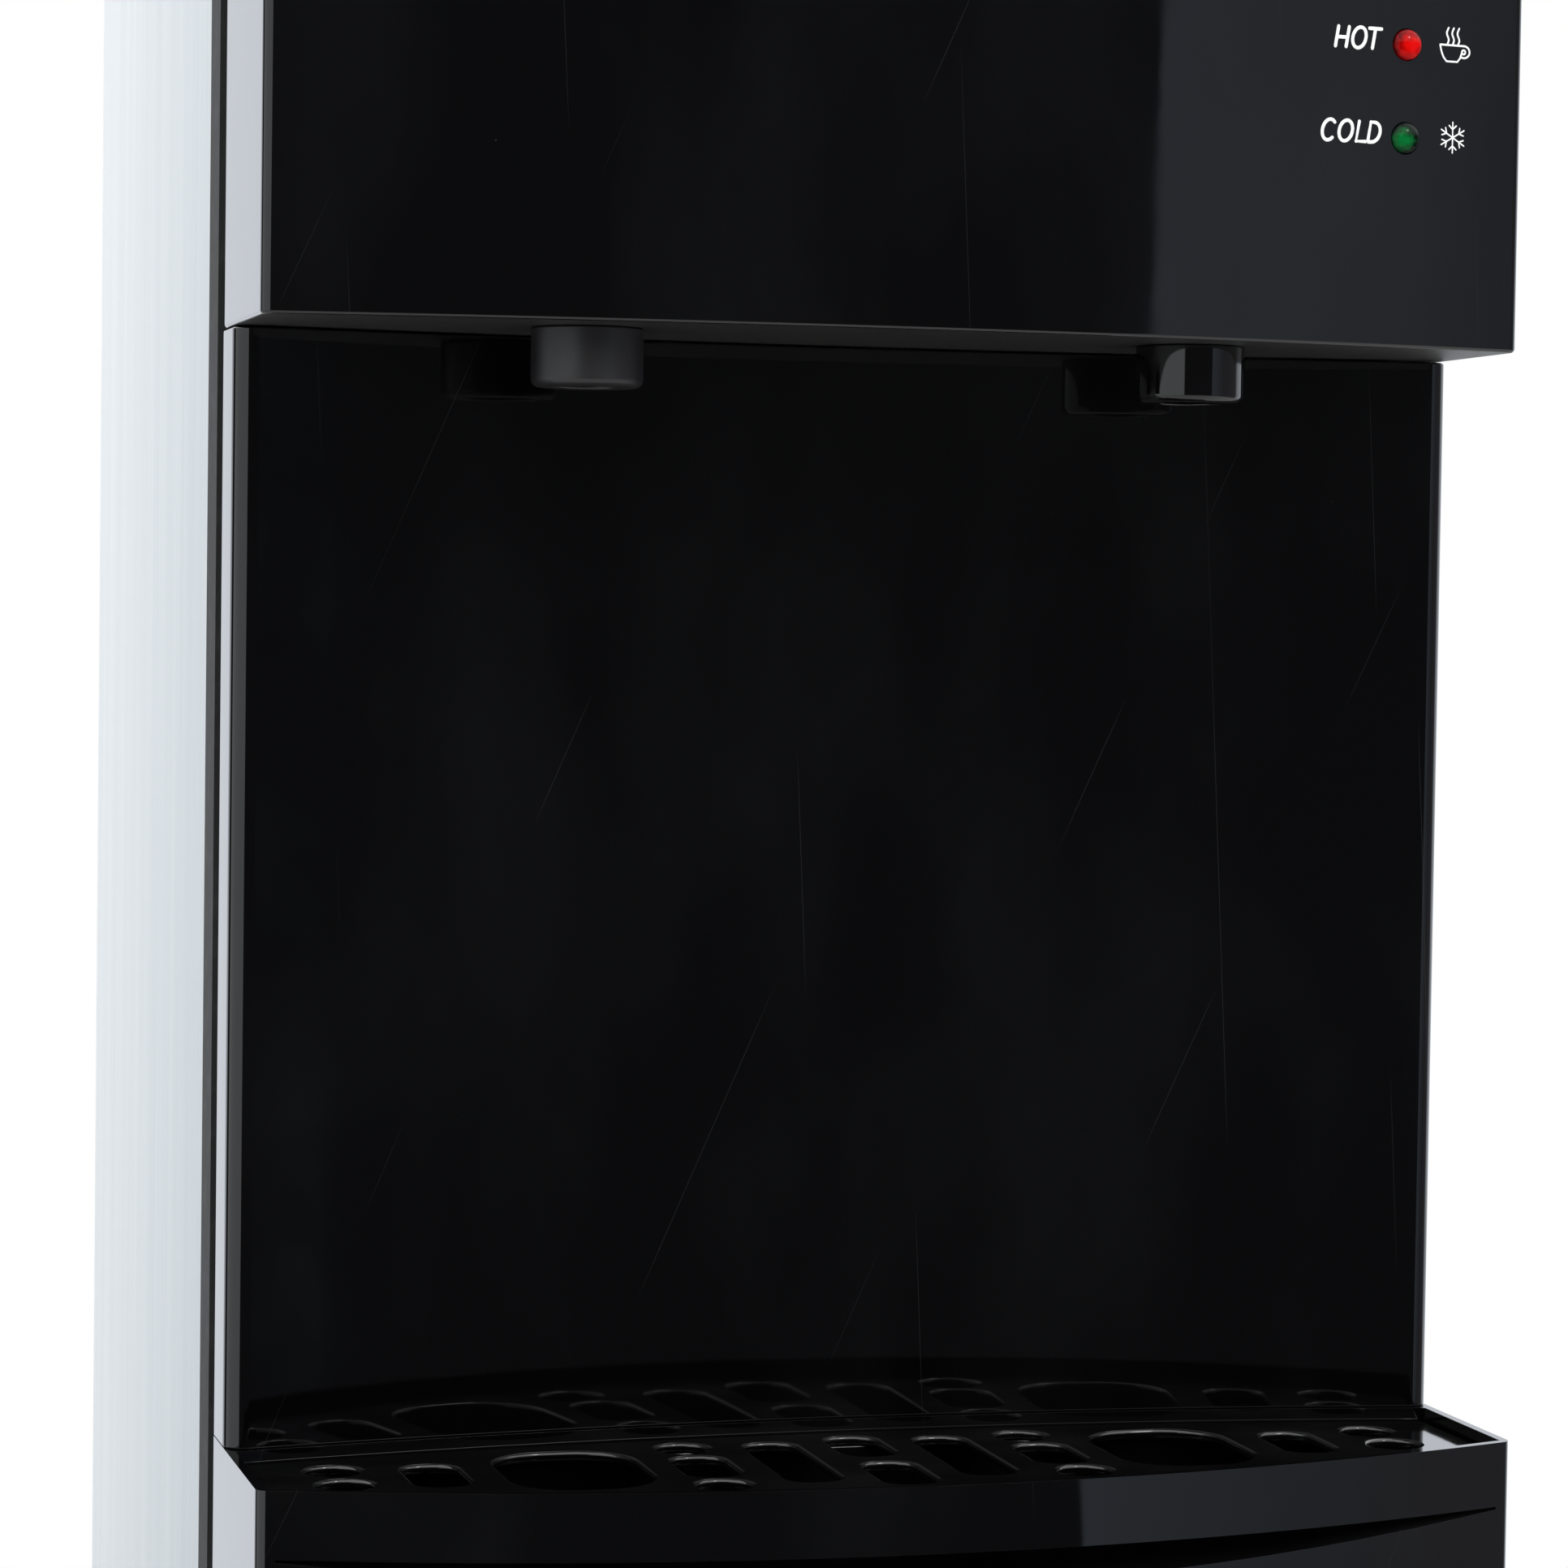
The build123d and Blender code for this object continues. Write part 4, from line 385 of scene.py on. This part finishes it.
def solderMask(name):
    # circuit board: green solder mask with paler copper tracks under it
    material, tree, shader, spot = startFinish(name, Roughness=0.3)
    flat = addNode(tree, "ShaderNodeMapping", {0: spot, "Rotation": (math.pi / 2, 0, 0)}).outputs[0]
    tracks = addNode(
        tree,
        "ShaderNodeTexBrick",
        {"Vector": flat, "Scale": 1 / (6 * mm), "Mortar Size": 0.04, "Brick Width": 0.9, "Row Height": 0.3},
    ).outputs["Fac"]
    tint = addNode(tree, "ShaderNodeMix", {0: tracks, 6: "#0d4a22", 7: "#2f7d47"}, data_type="RGBA").outputs[2]
    tree.links.new(tint, shader.inputs["Base Color"])
    return material


def lampEpoxy(name, glow, deep, strength, centre, reach):
    # coloured epoxy over a lamp: bright where the lamp is, deep towards its edge, wet gloss outside
    material, tree, shader, spot = startFinish(
        name, Roughness=0.05, IOR=1.5, Specular_IOR_Level=0.1, Emission_Strength=strength
    )
    local = addNode(tree, "ShaderNodeMapping", {0: spot, "Location": [-c for c in centre]}).outputs[0]
    away = addNode(tree, "ShaderNodeVectorMath", {0: local}, operation="LENGTH").outputs["Value"]
    flaw = mottle(tree, spot, 1.6, 0.3, 0.7, -0.0009, 0.0009, 3.0)
    away = addNode(tree, "ShaderNodeMath", {0: away, 1: flaw}, operation="ADD").outputs[0]
    share = addNode(tree, "ShaderNodeMapRange", {0: away, 1: reach * 0.25, 2: reach}).outputs[0]
    tint = addNode(tree, "ShaderNodeMix", {0: share, 6: glow, 7: deep}, data_type="RGBA").outputs[2]
    tree.links.new(tint, shader.inputs["Base Color"])
    tree.links.new(tint, shader.inputs["Emission Color"])
    return material


def padPrint(name, colour, pale):
    # pad-printed ink: opaque and matt, a little uneven
    material, tree, shader, spot = startFinish(name, Roughness=0.5)
    tone = mottle(tree, spot, 0.8, 0.3, 0.7)
    tint = addNode(tree, "ShaderNodeMix", {0: tone, 6: colour, 7: pale}, data_type="RGBA").outputs[2]
    tree.links.new(tint, shader.inputs["Base Color"])
    return material


lampFace = {}
for nodeName in ("hot_indicator", "cold_indicator"):
    low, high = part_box(nodeName)
    lampFace[nodeName] = Vector(((low.x + high.x) / 2, low.y, (low.z + high.z) / 2))
redMiddle = lampFace["hot_indicator"] + Vector((0.0006, 0.0, -0.0006))
greenMiddle = lampFace["cold_indicator"] + Vector((-0.0014, 0.0, -0.0006))
finishes = {
    # moulded plastics
    "glossBlackAbs": polishedAbs("glossBlackAbs", "#050506"),
    "spoutGlossAbs": polishedAbs("spoutGlossAbs", "#050506", 0.05, 6.0, False),
    "trayGlossAbs": polishedAbs("trayGlossAbs", "#050505", 0.1, 8.0, False),
    "spoutSatinAbs": sparkedPlastic("spoutSatinAbs", "#1a1a1c", "#212124", 0.38, 0.3),
    "satinBlackPp": sparkedPlastic("satinBlackPp", "#101011", "#18181a", 0.42),
    "whiteNylon": sparkedPlastic("whiteNylon", "#d6d5cf", "#e0dfda", 0.4, 0.8),
    "redAbs": polishedAbs("redAbs", "#a80f10", 0.2, 4.0, False),
    "blueAbs": polishedAbs("blueAbs", "#123f8f", 0.2, 4.0, False),
    # sheet and metal
    "streakedSteel": rolledSheet(
        "streakedSteel",
        "#e6ebee",
        "#b3bbc0",
        0.0,
        0.5,
        # painted light: paler across the side from front to rear, and paler up it
        paintedLightFades=((1, -64, 170, -0.3, 0.3), (2, 500, 1000, -0.1, 0.2)),
        streak=0.5,
    ),
    "zincSheet": hotDipZinc("zincSheet"),
    "brushedStainless": rolledSheet("brushedStainless", "#c2c2be", "#9a9a97", 1.0, 0.28, 0.6, 40.0),
    "blackEnamel": sprayedEnamel("blackEnamel", "#0b0b0c"),
    "copperTube": drawnMetal("copperTube", "#d98a5e", "#9a6242", 0.25),
    "zincPlate": drawnMetal("zincPlate", "#c3c5c6", "#9b9ea0", 0.26),
    # soft, foamed and electrical
    "nitrileRubber": mouldedRubber("nitrileRubber", "#141415", "#2c2c2d"),
    "cablePvc": mouldedRubber("cablePvc", "#141415", "#232324"),
    "foodSilicone": foodSilicone("foodSilicone"),
    "beadFoam": beadFoam("beadFoam"),
    "solderMask": solderMask("solderMask"),
    # lamps and print
    "redEpoxy": lampEpoxy("redEpoxy", "#cc0a08", "#4a0003", 0.16, redMiddle, 0.0046),
    "greenEpoxy": lampEpoxy("greenEpoxy", "#0a6b30", "#03110a", 0.06, greenMiddle, 0.0036),
    "whiteInk": padPrint("whiteInk", "#eceded", "#ffffff"),
}
wornBy = {
    "glossBlackAbs": "head_shell button_deck alcove_panel lower_front_panel top_cover hot_button cold_button",
    "spoutGlossAbs": "cold_spout",
    "trayGlossAbs": "drip_tray drip_grille",
    "spoutSatinAbs": "hot_spout",
    "satinBlackPp": "tray_ledge switch_bezel bottle_seat cord_inlet relay_cover",
    "whiteNylon": "baffle feed_probe hot_valve_body cold_valve_body hot_plunger cold_plunger control_box "
    "drain_fitting drain_cap tank_thermostats",
    "redAbs": "child_lock hot_switch",
    "blueAbs": "cold_switch",
    "streakedSteel": "left_side_panel right_side_panel",
    "zincSheet": "base_pan front_posts rear_panel tank_shelves",
    "brushedStainless": "cold_tank hot_tank",
    "blackEnamel": "compressor condenser",
    "copperTube": "evaporator_coil capillary_tube suction_tube filter_drier",
    "zincPlate": "hot_return_spring cold_return_spring screws",
    "nitrileRubber": "feet compressor_mounts seat_gasket",
    "cablePvc": "wiring",
    "foodSilicone": "cold_water_hose hot_water_hose tank_feed_hose drain_hose",
    "beadFoam": "left_insulation right_insulation hot_tank_jacket",
    "solderMask": "indicator_board",
    "redEpoxy": "hot_indicator",
    "greenEpoxy": "cold_indicator",
}
for finish, names in wornBy.items():
    for name in names.split():
        cad[name].data.materials.clear()
        cad[name].data.materials.append(finishes[finish])
print("finishes ready")


# ---- pieces
def newPiece(name, mesh, finish, smoothTo=None):
    piece = bpy.data.objects.new(name, mesh)
    scene.collection.objects.link(piece)
    mesh.materials.clear()
    mesh.materials.append(finishes[finish])
    if smoothTo:
        mesh.shade_smooth()
        mesh.set_sharp_from_angle(angle=math.radians(smoothTo))
    return piece


def settle(piece, body, slotName, *stoodFor):
    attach(piece, body)
    if stoodFor:
        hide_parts(*stoodFor)
    return piece


mouldRadii = {
    # mould radii and folds in mm: each edge catches a thin line of light
    "head_shell": 0.6,
    "alcove_panel": 0.5,
    "lower_front_panel": 0.55,
    "button_deck": 0.5,
    "top_cover": 0.8,
    "hot_button": 0.5,
    "cold_button": 0.5,
    "hot_spout": 0.5,
    "cold_spout": 0.4,
    "drip_tray": 0.4,
    "switch_bezel": 0.4,
    "left_side_panel": 0.25,
    "right_side_panel": 0.25,
    "bottle_seat": 0.6,
}
slotOf = {part["node"]: part["material_slot"] for part in frame["record"]["subparts"]}
for nodeName, radius in mouldRadii.items():
    source = cad[nodeName]
    shape = bmesh.new()
    shape.from_mesh(source.data)
    bmesh.ops.remove_doubles(shape, verts=shape.verts, dist=0.00001)
    bmesh.ops.dissolve_limit(shape, angle_limit=math.radians(0.4), verts=shape.verts, edges=shape.edges)
    mesh = bpy.data.meshes.new(nodeName + "_moulded")
    shape.to_mesh(mesh)
    shape.free()
    mesh.shade_smooth()
    piece = newPiece(nodeName + "_moulded", mesh, source.data.materials[0].name)
    bevel = piece.modifiers.new("mouldRadius", "BEVEL")
    bevel.width = radius * mm
    bevel.segments = 3
    bevel.limit_method = "ANGLE"
    bevel.angle_limit = math.radians(30)
    flatter = piece.modifiers.new("facesFirst", "WEIGHTED_NORMAL")
    flatter.weight = 90
    settle(piece, source["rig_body"], slotOf[nodeName], nodeName)
print("moulded pieces rounded")


def growPiece(name, seed, sizes, build, finish):
    # runs a Geometry Nodes tree with named sizes on the seed's points or lines, and keeps the result as a mesh
    tree = bpy.data.node_groups.new(name, "GeometryNodeTree")
    tree.interface.new_socket("Geometry", in_out="OUTPUT", socket_type="NodeSocketGeometry")
    tree.interface.new_socket("Seed", in_out="INPUT", socket_type="NodeSocketGeometry")
    sockets = {}
    for label, value in sizes.items():
        kind = "NodeSocketInt" if isinstance(value, int) else "NodeSocketFloat"
        sockets[label] = tree.interface.new_socket(label, in_out="INPUT", socket_type=kind).identifier
    grown = build(tree, addNode(tree, "NodeGroupInput").outputs)
    real = addNode(tree, "GeometryNodeRealizeInstances", {0: grown}).outputs[0]
    dressed = addNode(tree, "GeometryNodeSetMaterial", {0: real, "Material": finishes[finish]}).outputs[0]
    addNode(tree, "NodeGroupOutput", {0: dressed})
    holder = bpy.data.objects.new(name, seed)
    scene.collection.objects.link(holder)
    modifier = holder.modifiers.new(name, "NODES")
    modifier.node_group = tree
    for label, value in sizes.items():
        modifier[sockets[label]] = value
    mesh = bpy.data.meshes.new_from_object(holder.evaluated_get(bpy.context.evaluated_depsgraph_get()))
    holder.modifiers.remove(modifier)
    bpy.data.objects.remove(holder)
    return newPiece(name, mesh, finish, 40)


def linesOf(name, paths):
    # a curve of straight runs through each path's points
    curve = bpy.data.curves.new(name, "CURVE")
    curve.dimensions = "3D"
    for path in paths:
        spline = curve.splines.new("POLY")
        spline.points.add(len(path) - 1)
        for point, at in zip(spline.points, path):
            point.co = (*at, 1.0)
    return curve


# ---- painted shade: black strips on the steel sides' front folds, at the bottom of the groove behind the moulded front, darken the groove to stand in for its shade
shadeStrip = {
    # in mm: half the width over the strips, over the steel inside them, and to their inner edges
    "outer": 153.75,
    "steel": 153.45,
    "inner": 145.5,
    # their front, where they meet the fold, and how far back the thin lip runs
    "front": -68.0,
    "fold": -64.5,
    "lip": -52.5,
    "foot": 22.0,
    "top": 1013.0,
}
for side, sideName in ((-1, "left"), (1, "right")):
    shape = bmesh.new()
    plan = [
        (shadeStrip["inner"], shadeStrip["front"]),
        (shadeStrip["outer"], shadeStrip["front"]),
        (shadeStrip["outer"], shadeStrip["lip"]),
        (shadeStrip["steel"], shadeStrip["lip"]),
        (shadeStrip["steel"], shadeStrip["fold"]),
        (shadeStrip["inner"], shadeStrip["fold"]),
    ]
    ends = [[shape.verts.new((side * x * mm, y * mm, shadeStrip[z] * mm)) for x, y in plan] for z in ("foot", "top")]
    for end in ends:
        shape.faces.new(end)
    for i in range(len(plan)):
        after = (i + 1) % len(plan)
        shape.faces.new((ends[0][i], ends[0][after], ends[1][after], ends[1][i]))
    bmesh.ops.recalc_face_normals(shape, faces=shape.faces)
    mesh = bpy.data.meshes.new(sideName + "_shade_strip")
    shape.to_mesh(mesh)
    shape.free()
    settle(newPiece(sideName + "_shade_strip", mesh, "nitrileRubber"), "cabinet", "rubber")
print("groove strips in")

# ---- lettering and signs beside the lamps, printed on the bowed face
headBow = {"corner": -0.14625, "bow": 0.0145, "radius": 0.8357}


def headFaceY(x):
    return headBow["corner"] - headBow["bow"] + headBow["radius"] - math.sqrt(headBow["radius"] ** 2 - x * x)


def arcOf(x, z, wide, high, start, stop, steps=14):
    turns = [math.radians(start + (stop - start) * i / steps) for i in range(steps + 1)]
    return [(x + wide * math.cos(a), z + high * math.sin(a)) for a in turns]


lettering = {"high": 4.75, "lean": 0.17, "halfStroke": 0.43}
h = lettering["high"]
glyphs = {
    "H": [[(0, 0), (0, h)], [(2.9, 0), (2.9, h)], [(0, h * 0.47), (2.9, h * 0.47)]],
    "O": [arcOf(1.75, h / 2, 1.8, h / 2 + 0.12, 0, 360, 28)],
    "T": [[(0, h), (3.3, h)], [(1.65, h), (1.65, 0)]],
    "C": [arcOf(1.75, h / 2, 1.8, h / 2 + 0.12, 48, 312, 22)],
    "L": [[(0, h), (0, 0), (2.5, 0)]],
    "D": [[(0, 0), (0, h), (1.0, h)] + arcOf(1.0, h / 2, 1.95, h / 2, 90, -90, 14) + [(0, 0)]],
}
words = {
    # foot of the first stroke, then each letter and how far along it stands
    "hot_word": ((102.05, 966.55), [("H", 0.0), ("O", 4.35), ("T", 8.45)]),
    "cold_word": ((98.6, 944.1), [("C", 0.0), ("O", 4.55), ("L", 9.55), ("D", 12.75)]),
}


def inkStrokes(tree, start):
    # a round-ended stroke of ink along every line
    ring = addNode(tree, "GeometryNodeCurvePrimitiveCircle", {"Resolution": 8, "Radius": start["Half stroke"]})
    strokes = addNode(tree, "GeometryNodeCurveToMesh", {0: start["Seed"], 1: ring.outputs[0]}).outputs[0]
    dot = addNode(
        tree, "GeometryNodeMeshUVSphere", {"Segments": 10, "Rings": 6, "Radius": start["Half stroke"]}
    ).outputs[0]
    corners = addNode(tree, "GeometryNodeCurveToPoints", {0: start["Seed"]}, mode="EVALUATED").outputs[0]
    dots = addNode(tree, "GeometryNodeInstanceOnPoints", {0: corners, 2: dot}).outputs[0]
    joined = addNode(tree, "GeometryNodeJoinGeometry")
    tree.links.new(strokes, joined.inputs[0])
    tree.links.new(dots, joined.inputs[0])
    return joined.outputs[0]


def printOnHead(name, paths, halfStroke):
    # lines drawn flat in mm, grown to strokes, then laid on the bowed face a few hundredths proud
    seed = linesOf(name, [[(x, 0, z) for x, z in path] for path in paths])
    sign = growPiece(name, seed, {"Half stroke": halfStroke}, inkStrokes, "whiteInk")
    for vertex in sign.data.vertices:
        x, thick, z = vertex.co
        vertex.co = (x * mm, headFaceY(x * mm) + thick * mm * 0.1 - 0.00002, z * mm)
    settle(sign, "cabinet", "white_plastic")


for name, ((x0, z0), letters) in words.items():
    paths = []
    for letter, along in letters:
        for path in glyphs[letter]:
            paths.append([(x0 + along + x + lettering["lean"] * z, z0 + z) for x, z in path])
    printOnHead(name, paths, lettering["halfStroke"])

cup = {"left": 131.0, "rim": 968.7, "foot": 964.75, "halfStroke": 0.24}
cupX, rimZ = cup["left"], cup["rim"]
cupPaths = [
    [(cupX, rimZ), (cupX + 6.9, rimZ)],
    [
        (cupX, rimZ),
        (cupX + 0.35, rimZ - 1.5),
        (cupX + 1.0, rimZ - 3.0),
        (cupX + 1.9, cup["foot"]),
        (cupX + 4.9, cup["foot"]),
        (cupX + 5.7, rimZ - 3.0),
        (cupX + 6.2, rimZ - 1.6),
    ],
    arcOf(cupX + 6.75, rimZ - 1.45, 1.6, 1.45, 95, -115, 16),
    arcOf(cupX + 6.65, rimZ - 1.5, 0.5, 0.5, 0, 360, 12),
]
for x in (2.1, 3.6, 5.1):
    cupPaths.append([(cupX + x + 0.28 * math.sin(i * math.pi / 4), rimZ + 0.35 + 0.42 * i) for i in range(10)])
printOnHead("cup_sign", cupPaths, cup["halfStroke"])

flake = {"middle": (135.0, 946.4), "arm": 3.7, "branchFrom": 2.0, "branch": 1.35, "halfStroke": 0.18}
flakePaths = []
middle = Vector(flake["middle"])
for arm in range(6):
    turnBy = math.radians(90 + 60 * arm)
    aim = Vector((math.cos(turnBy), math.sin(turnBy)))
    flakePaths.append([tuple(middle), tuple(middle + aim * flake["arm"])])
    root = middle + aim * flake["branchFrom"]
    for swing in (0.85, -0.85):
        side = Vector((math.cos(turnBy + swing), math.sin(turnBy + swing)))
        flakePaths.append([tuple(root), tuple(root + side * flake["branch"])])
printOnHead("snowflake_sign", flakePaths, flake["halfStroke"])
print("signs printed")

# ---- lamp lenses, spun smooth
lens = {"radius": 3.72, "proud": 2.0, "steps": 14, "segments": 48}
for nodeName, finish, slotName in (
    ("hot_indicator", "redEpoxy", "red_lens"),
    ("cold_indicator", "greenEpoxy", "green_lens"),
):
    profile = []
    for i in range(lens["steps"] + 1):
        a = i / lens["steps"] * math.pi / 2
        profile.append((lens["radius"] * mm * math.sin(a), lens["proud"] * mm * (1 - math.cos(a))))
    profile += [(lens["radius"] * mm, 0.006), (0.0, 0.006)]
    shape = bmesh.new()
    rings = []
    for radius, back in profile:
        ring = []
        for k in range(lens["segments"] if radius else 1):
            a = 2 * math.pi * k / lens["segments"]
            at = lampFace[nodeName] + Vector((radius * math.cos(a), back, radius * math.sin(a)))
            ring.append(shape.verts.new(at))
        rings.append(ring)
    for first, second in zip(rings, rings[1:]):
        for k in range(lens["segments"]):
            corners = [first[k % len(first)], first[(k + 1) % len(first)]]
            corners += [second[(k + 1) % len(second)], second[k % len(second)]]
            shape.faces.new(list(dict.fromkeys(corners)))
    bmesh.ops.recalc_face_normals(shape, faces=shape.faces)
    mesh = bpy.data.meshes.new(nodeName + "_lens")
    shape.to_mesh(mesh)
    shape.free()
    settle(newPiece(nodeName + "_lens", mesh, finish, 50), "cabinet", slotName, nodeName)
print("lamps set")

# ---- drip grille: one moulded plate, its holes rounded over
grille = {
    "slot": 13.5,  # widths of the slots and the round holes
    "round": 13.5,
    "spout": (34.5, 46.0, 14.0),  # width, length and corner of the holes under the spouts
    "roundOver": 0.9,
    "outlineSteps": 48,
    "frontRadius": 475.0,
    "rearRadius": 865.0,
    "frontCorner": -146.25,
    "holes": [
        # across, behind the front's corners, kind, length
        (0.0, 32.0, "slot", 26.0),
        (0.0, -2.0, "slot", 28.0),
        (21.75, 16.0, "slot", 50.0),
        (43.5, 14.5, "slot", 26.0),
        (43.5, 37.5, "round", 0.0),
        (44.7, -8.0, "round", 0.0),
        (75.5, 16.0, "spout", 0.0),
        (108.75, 16.0, "slot", 27.0),
        (131.5, 26.0, "round", 0.0),
        (131.5, 9.0, "round", 0.0),
    ],
}


def roundedBox(x, y, wide, long, corner, steps=8):
    path = []
    for signX, signY, start in ((1, 1, 0), (-1, 1, 90), (-1, -1, 180), (1, -1, 270)):
        middleX, middleY = x + signX * (wide / 2 - corner), y + signY * (long / 2 - corner)
        for i in range(steps + 1):
            a = math.radians(start + 90 * i / steps)
            path.append((middleX + corner * math.cos(a), middleY + corner * math.sin(a)))
    return path


low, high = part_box("drip_grille")
half, frontY, rearY = high.x / mm, low.y / mm, high.y / mm
outline = []
for start, y, inward, radius in ((-half, frontY, 1, grille["frontRadius"]), (half, rearY, -1, grille["rearRadius"])):
    for i in range(grille["outlineSteps"] + 1):
        x = start - 2 * start * i / grille["outlineSteps"]
        outline.append((x, y + inward * (radius - math.sqrt(radius**2 - x * x))))
loops = [outline]
for x, back, kind, long in grille["holes"]:
    for side in (1, -1) if x else (1,):
        wide, deep, corner = grille["spout"]
        if kind == "slot":
            wide, deep, corner = grille["slot"], long, grille["slot"] / 2 - 1
        elif kind == "round":
            wide, deep, corner = grille["round"], grille["round"], grille["round"] / 2
        loops.append(roundedBox(side * x, grille["frontCorner"] + back, wide, deep, corner))
curve = bpy.data.curves.new("drip_grille_plate", "CURVE")
curve.dimensions = "2D"
curve.fill_mode = "BOTH"
curve.extrude = (high.z - low.z) / 2 - grille["roundOver"] * mm
curve.bevel_depth = grille["roundOver"] * mm
curve.offset = -grille["roundOver"] * mm
curve.bevel_resolution = 4
for path in loops:
    spline = curve.splines.new("POLY")
    spline.points.add(len(path) - 1)
    for point, (x, y) in zip(spline.points, path):
        point.co = (x * mm, y * mm, 0, 1)
    spline.use_cyclic_u = True
flat = bpy.data.objects.new("drip_grille_plate", curve)
scene.collection.objects.link(flat)
mesh = bpy.data.meshes.new_from_object(flat.evaluated_get(bpy.context.evaluated_depsgraph_get()))
bpy.data.objects.remove(flat)
mesh.transform(Matrix.Translation((0, 0, (low.z + high.z) / 2)))
settle(newPiece("drip_grille_plate", mesh, "trayGlossAbs", 40), "grille", "satin_black", "drip_grille")
print("grille cut")

# ---- condenser: one long tube folded back and forth, with wires welded across both of its faces
condenser = {
    "outlet": (18.75, 140.0),  # the compressor's outlet: across and up
    "low": 290.0,  # lowest pass, then the step to the next
    "step": 50.0,
    "passes": 12,
    "halfPass": 110.0,
    "drierX": 127.1,
    "drierY": 120.0,
    "turnZ": 202.0,  # where the tube turns in under the rear panel
    "drierTop": 180.1,
    "endWithin": 3.0,  # how far from the outlet's height its end is looked for
}
tubeSizes = {
    # in metres, named as the inputs of the tree
    "Tube radius": 0.0024,
    "Bend": 0.02,
    "Wire radius": 0.0008,
    "Wire step": 0.0125,
    "Wires": 17,
    "Wire length": 0.58,
    "Wire out": 0.00325,
    "Behind": 0.16795,
    "Middle": 0.565,
}
outletX, outletZ = condenser["outlet"]
behind = tubeSizes["Behind"] / mm
solidTube = [v.co / mm for v in cad["condenser"].data.vertices]
startY = min(at.y for at in solidTube if abs(at.z - outletZ) < condenser["endWithin"])
topZ = condenser["low"] + condenser["step"] * (condenser["passes"] - 1)
route = [(outletX, startY, outletZ), (outletX, behind, outletZ), (outletX, behind, condenser["low"])]
for row in range(condenser["passes"]):
    z = condenser["low"] + row * condenser["step"]
    stop = condenser["halfPass"] * (1 if row % 2 else -1)
    if row:
        route.append((-stop, behind, z))
    if row < condenser["passes"] - 1:
        route.append((stop, behind, z))
drierX, drierY = condenser["drierX"], condenser["drierY"]
route += [(drierX, behind, topZ), (drierX, behind, condenser["turnZ"]), (drierX, drierY, condenser["turnZ"])]
route.append((drierX, drierY, condenser["drierTop"]))


def foldedTube(tree, start):
    # the route with its corners bent round, swept to a tube, and a row of wires on either side of it
    bent = addNode(
        tree,
        "GeometryNodeFilletCurve",
        {"Curve": start["Seed"], "Count": 10, "Radius": start["Bend"], "Limit Radius": True},
        mode="POLY",
    ).outputs[0]
    ring = addNode(tree, "GeometryNodeCurvePrimitiveCircle", {"Resolution": 16, "Radius": start["Tube radius"]})
    tube = addNode(
        tree, "GeometryNodeCurveToMesh", {0: bent, 1: ring.outputs[0], "Fill Caps": True}
    ).outputs[0]
    wire = addNode(
        tree,
        "GeometryNodeMeshCylinder",
        {"Vertices": 10, "Radius": start["Wire radius"], "Depth": start["Wire length"]},
    ).outputs[0]
    gaps = addNode(tree, "ShaderNodeMath", {0: start["Wires"], 1: 1.0}, operation="SUBTRACT").outputs[0]
    across = addNode(tree, "ShaderNodeMath", {0: gaps, 1: start["Wire step"]}, operation="MULTIPLY").outputs[0]
    first = addNode(tree, "ShaderNodeMath", {0: across, 1: -0.5}, operation="MULTIPLY").outputs[0]
    step = addNode(tree, "ShaderNodeCombineXYZ", {0: start["Wire step"]}).outputs[0]
    joined = addNode(tree, "GeometryNodeJoinGeometry")
    tree.links.new(tube, joined.inputs[0])
    for side in ("ADD", "SUBTRACT"):
        y = addNode(tree, "ShaderNodeMath", {0: start["Behind"], 1: start["Wire out"]}, operation=side).outputs[0]
        at = addNode(tree, "ShaderNodeCombineXYZ", {0: first, 1: y, 2: start["Middle"]}).outputs[0]
        row = addNode(
            tree, "GeometryNodeMeshLine", {"Count": start["Wires"], "Start Location": at, "Offset": step}
        ).outputs[0]
        wires = addNode(tree, "GeometryNodeInstanceOnPoints", {0: row, 2: wire}).outputs[0]
        tree.links.new(wires, joined.inputs[0])
    return joined.outputs[0]


seed = linesOf("condenser_run", [[tuple(c * mm for c in at) for at in route]])
run = growPiece("condenser_run", seed, tubeSizes, foldedTube, "blackEnamel")
settle(run, "cabinet", slotOf["condenser"], "condenser")
print("condenser bent")

# ---- floor
floorMesh = bpy.data.meshes.new("floor")
floorShape = bmesh.new()
bmesh.ops.create_circle(floorShape, cap_ends=True, segments=96, radius=2.4)
floorShape.to_mesh(floorMesh)
floorShape.free()
floor = bpy.data.objects.new("floor", floorMesh)
scene.collection.objects.link(floor)
material, tree, shader, spot = startFinish("paleFloor", Roughness=0.9)
patch = mottle(tree, spot, 30, 0.3, 0.7)
tint = addNode(tree, "ShaderNodeMix", {0: patch, 6: "#ececec", 7: "#f1f1f1"}, data_type="RGBA").outputs[2]
tree.links.new(tint, shader.inputs["Base Color"])
floorMesh.materials.append(material)
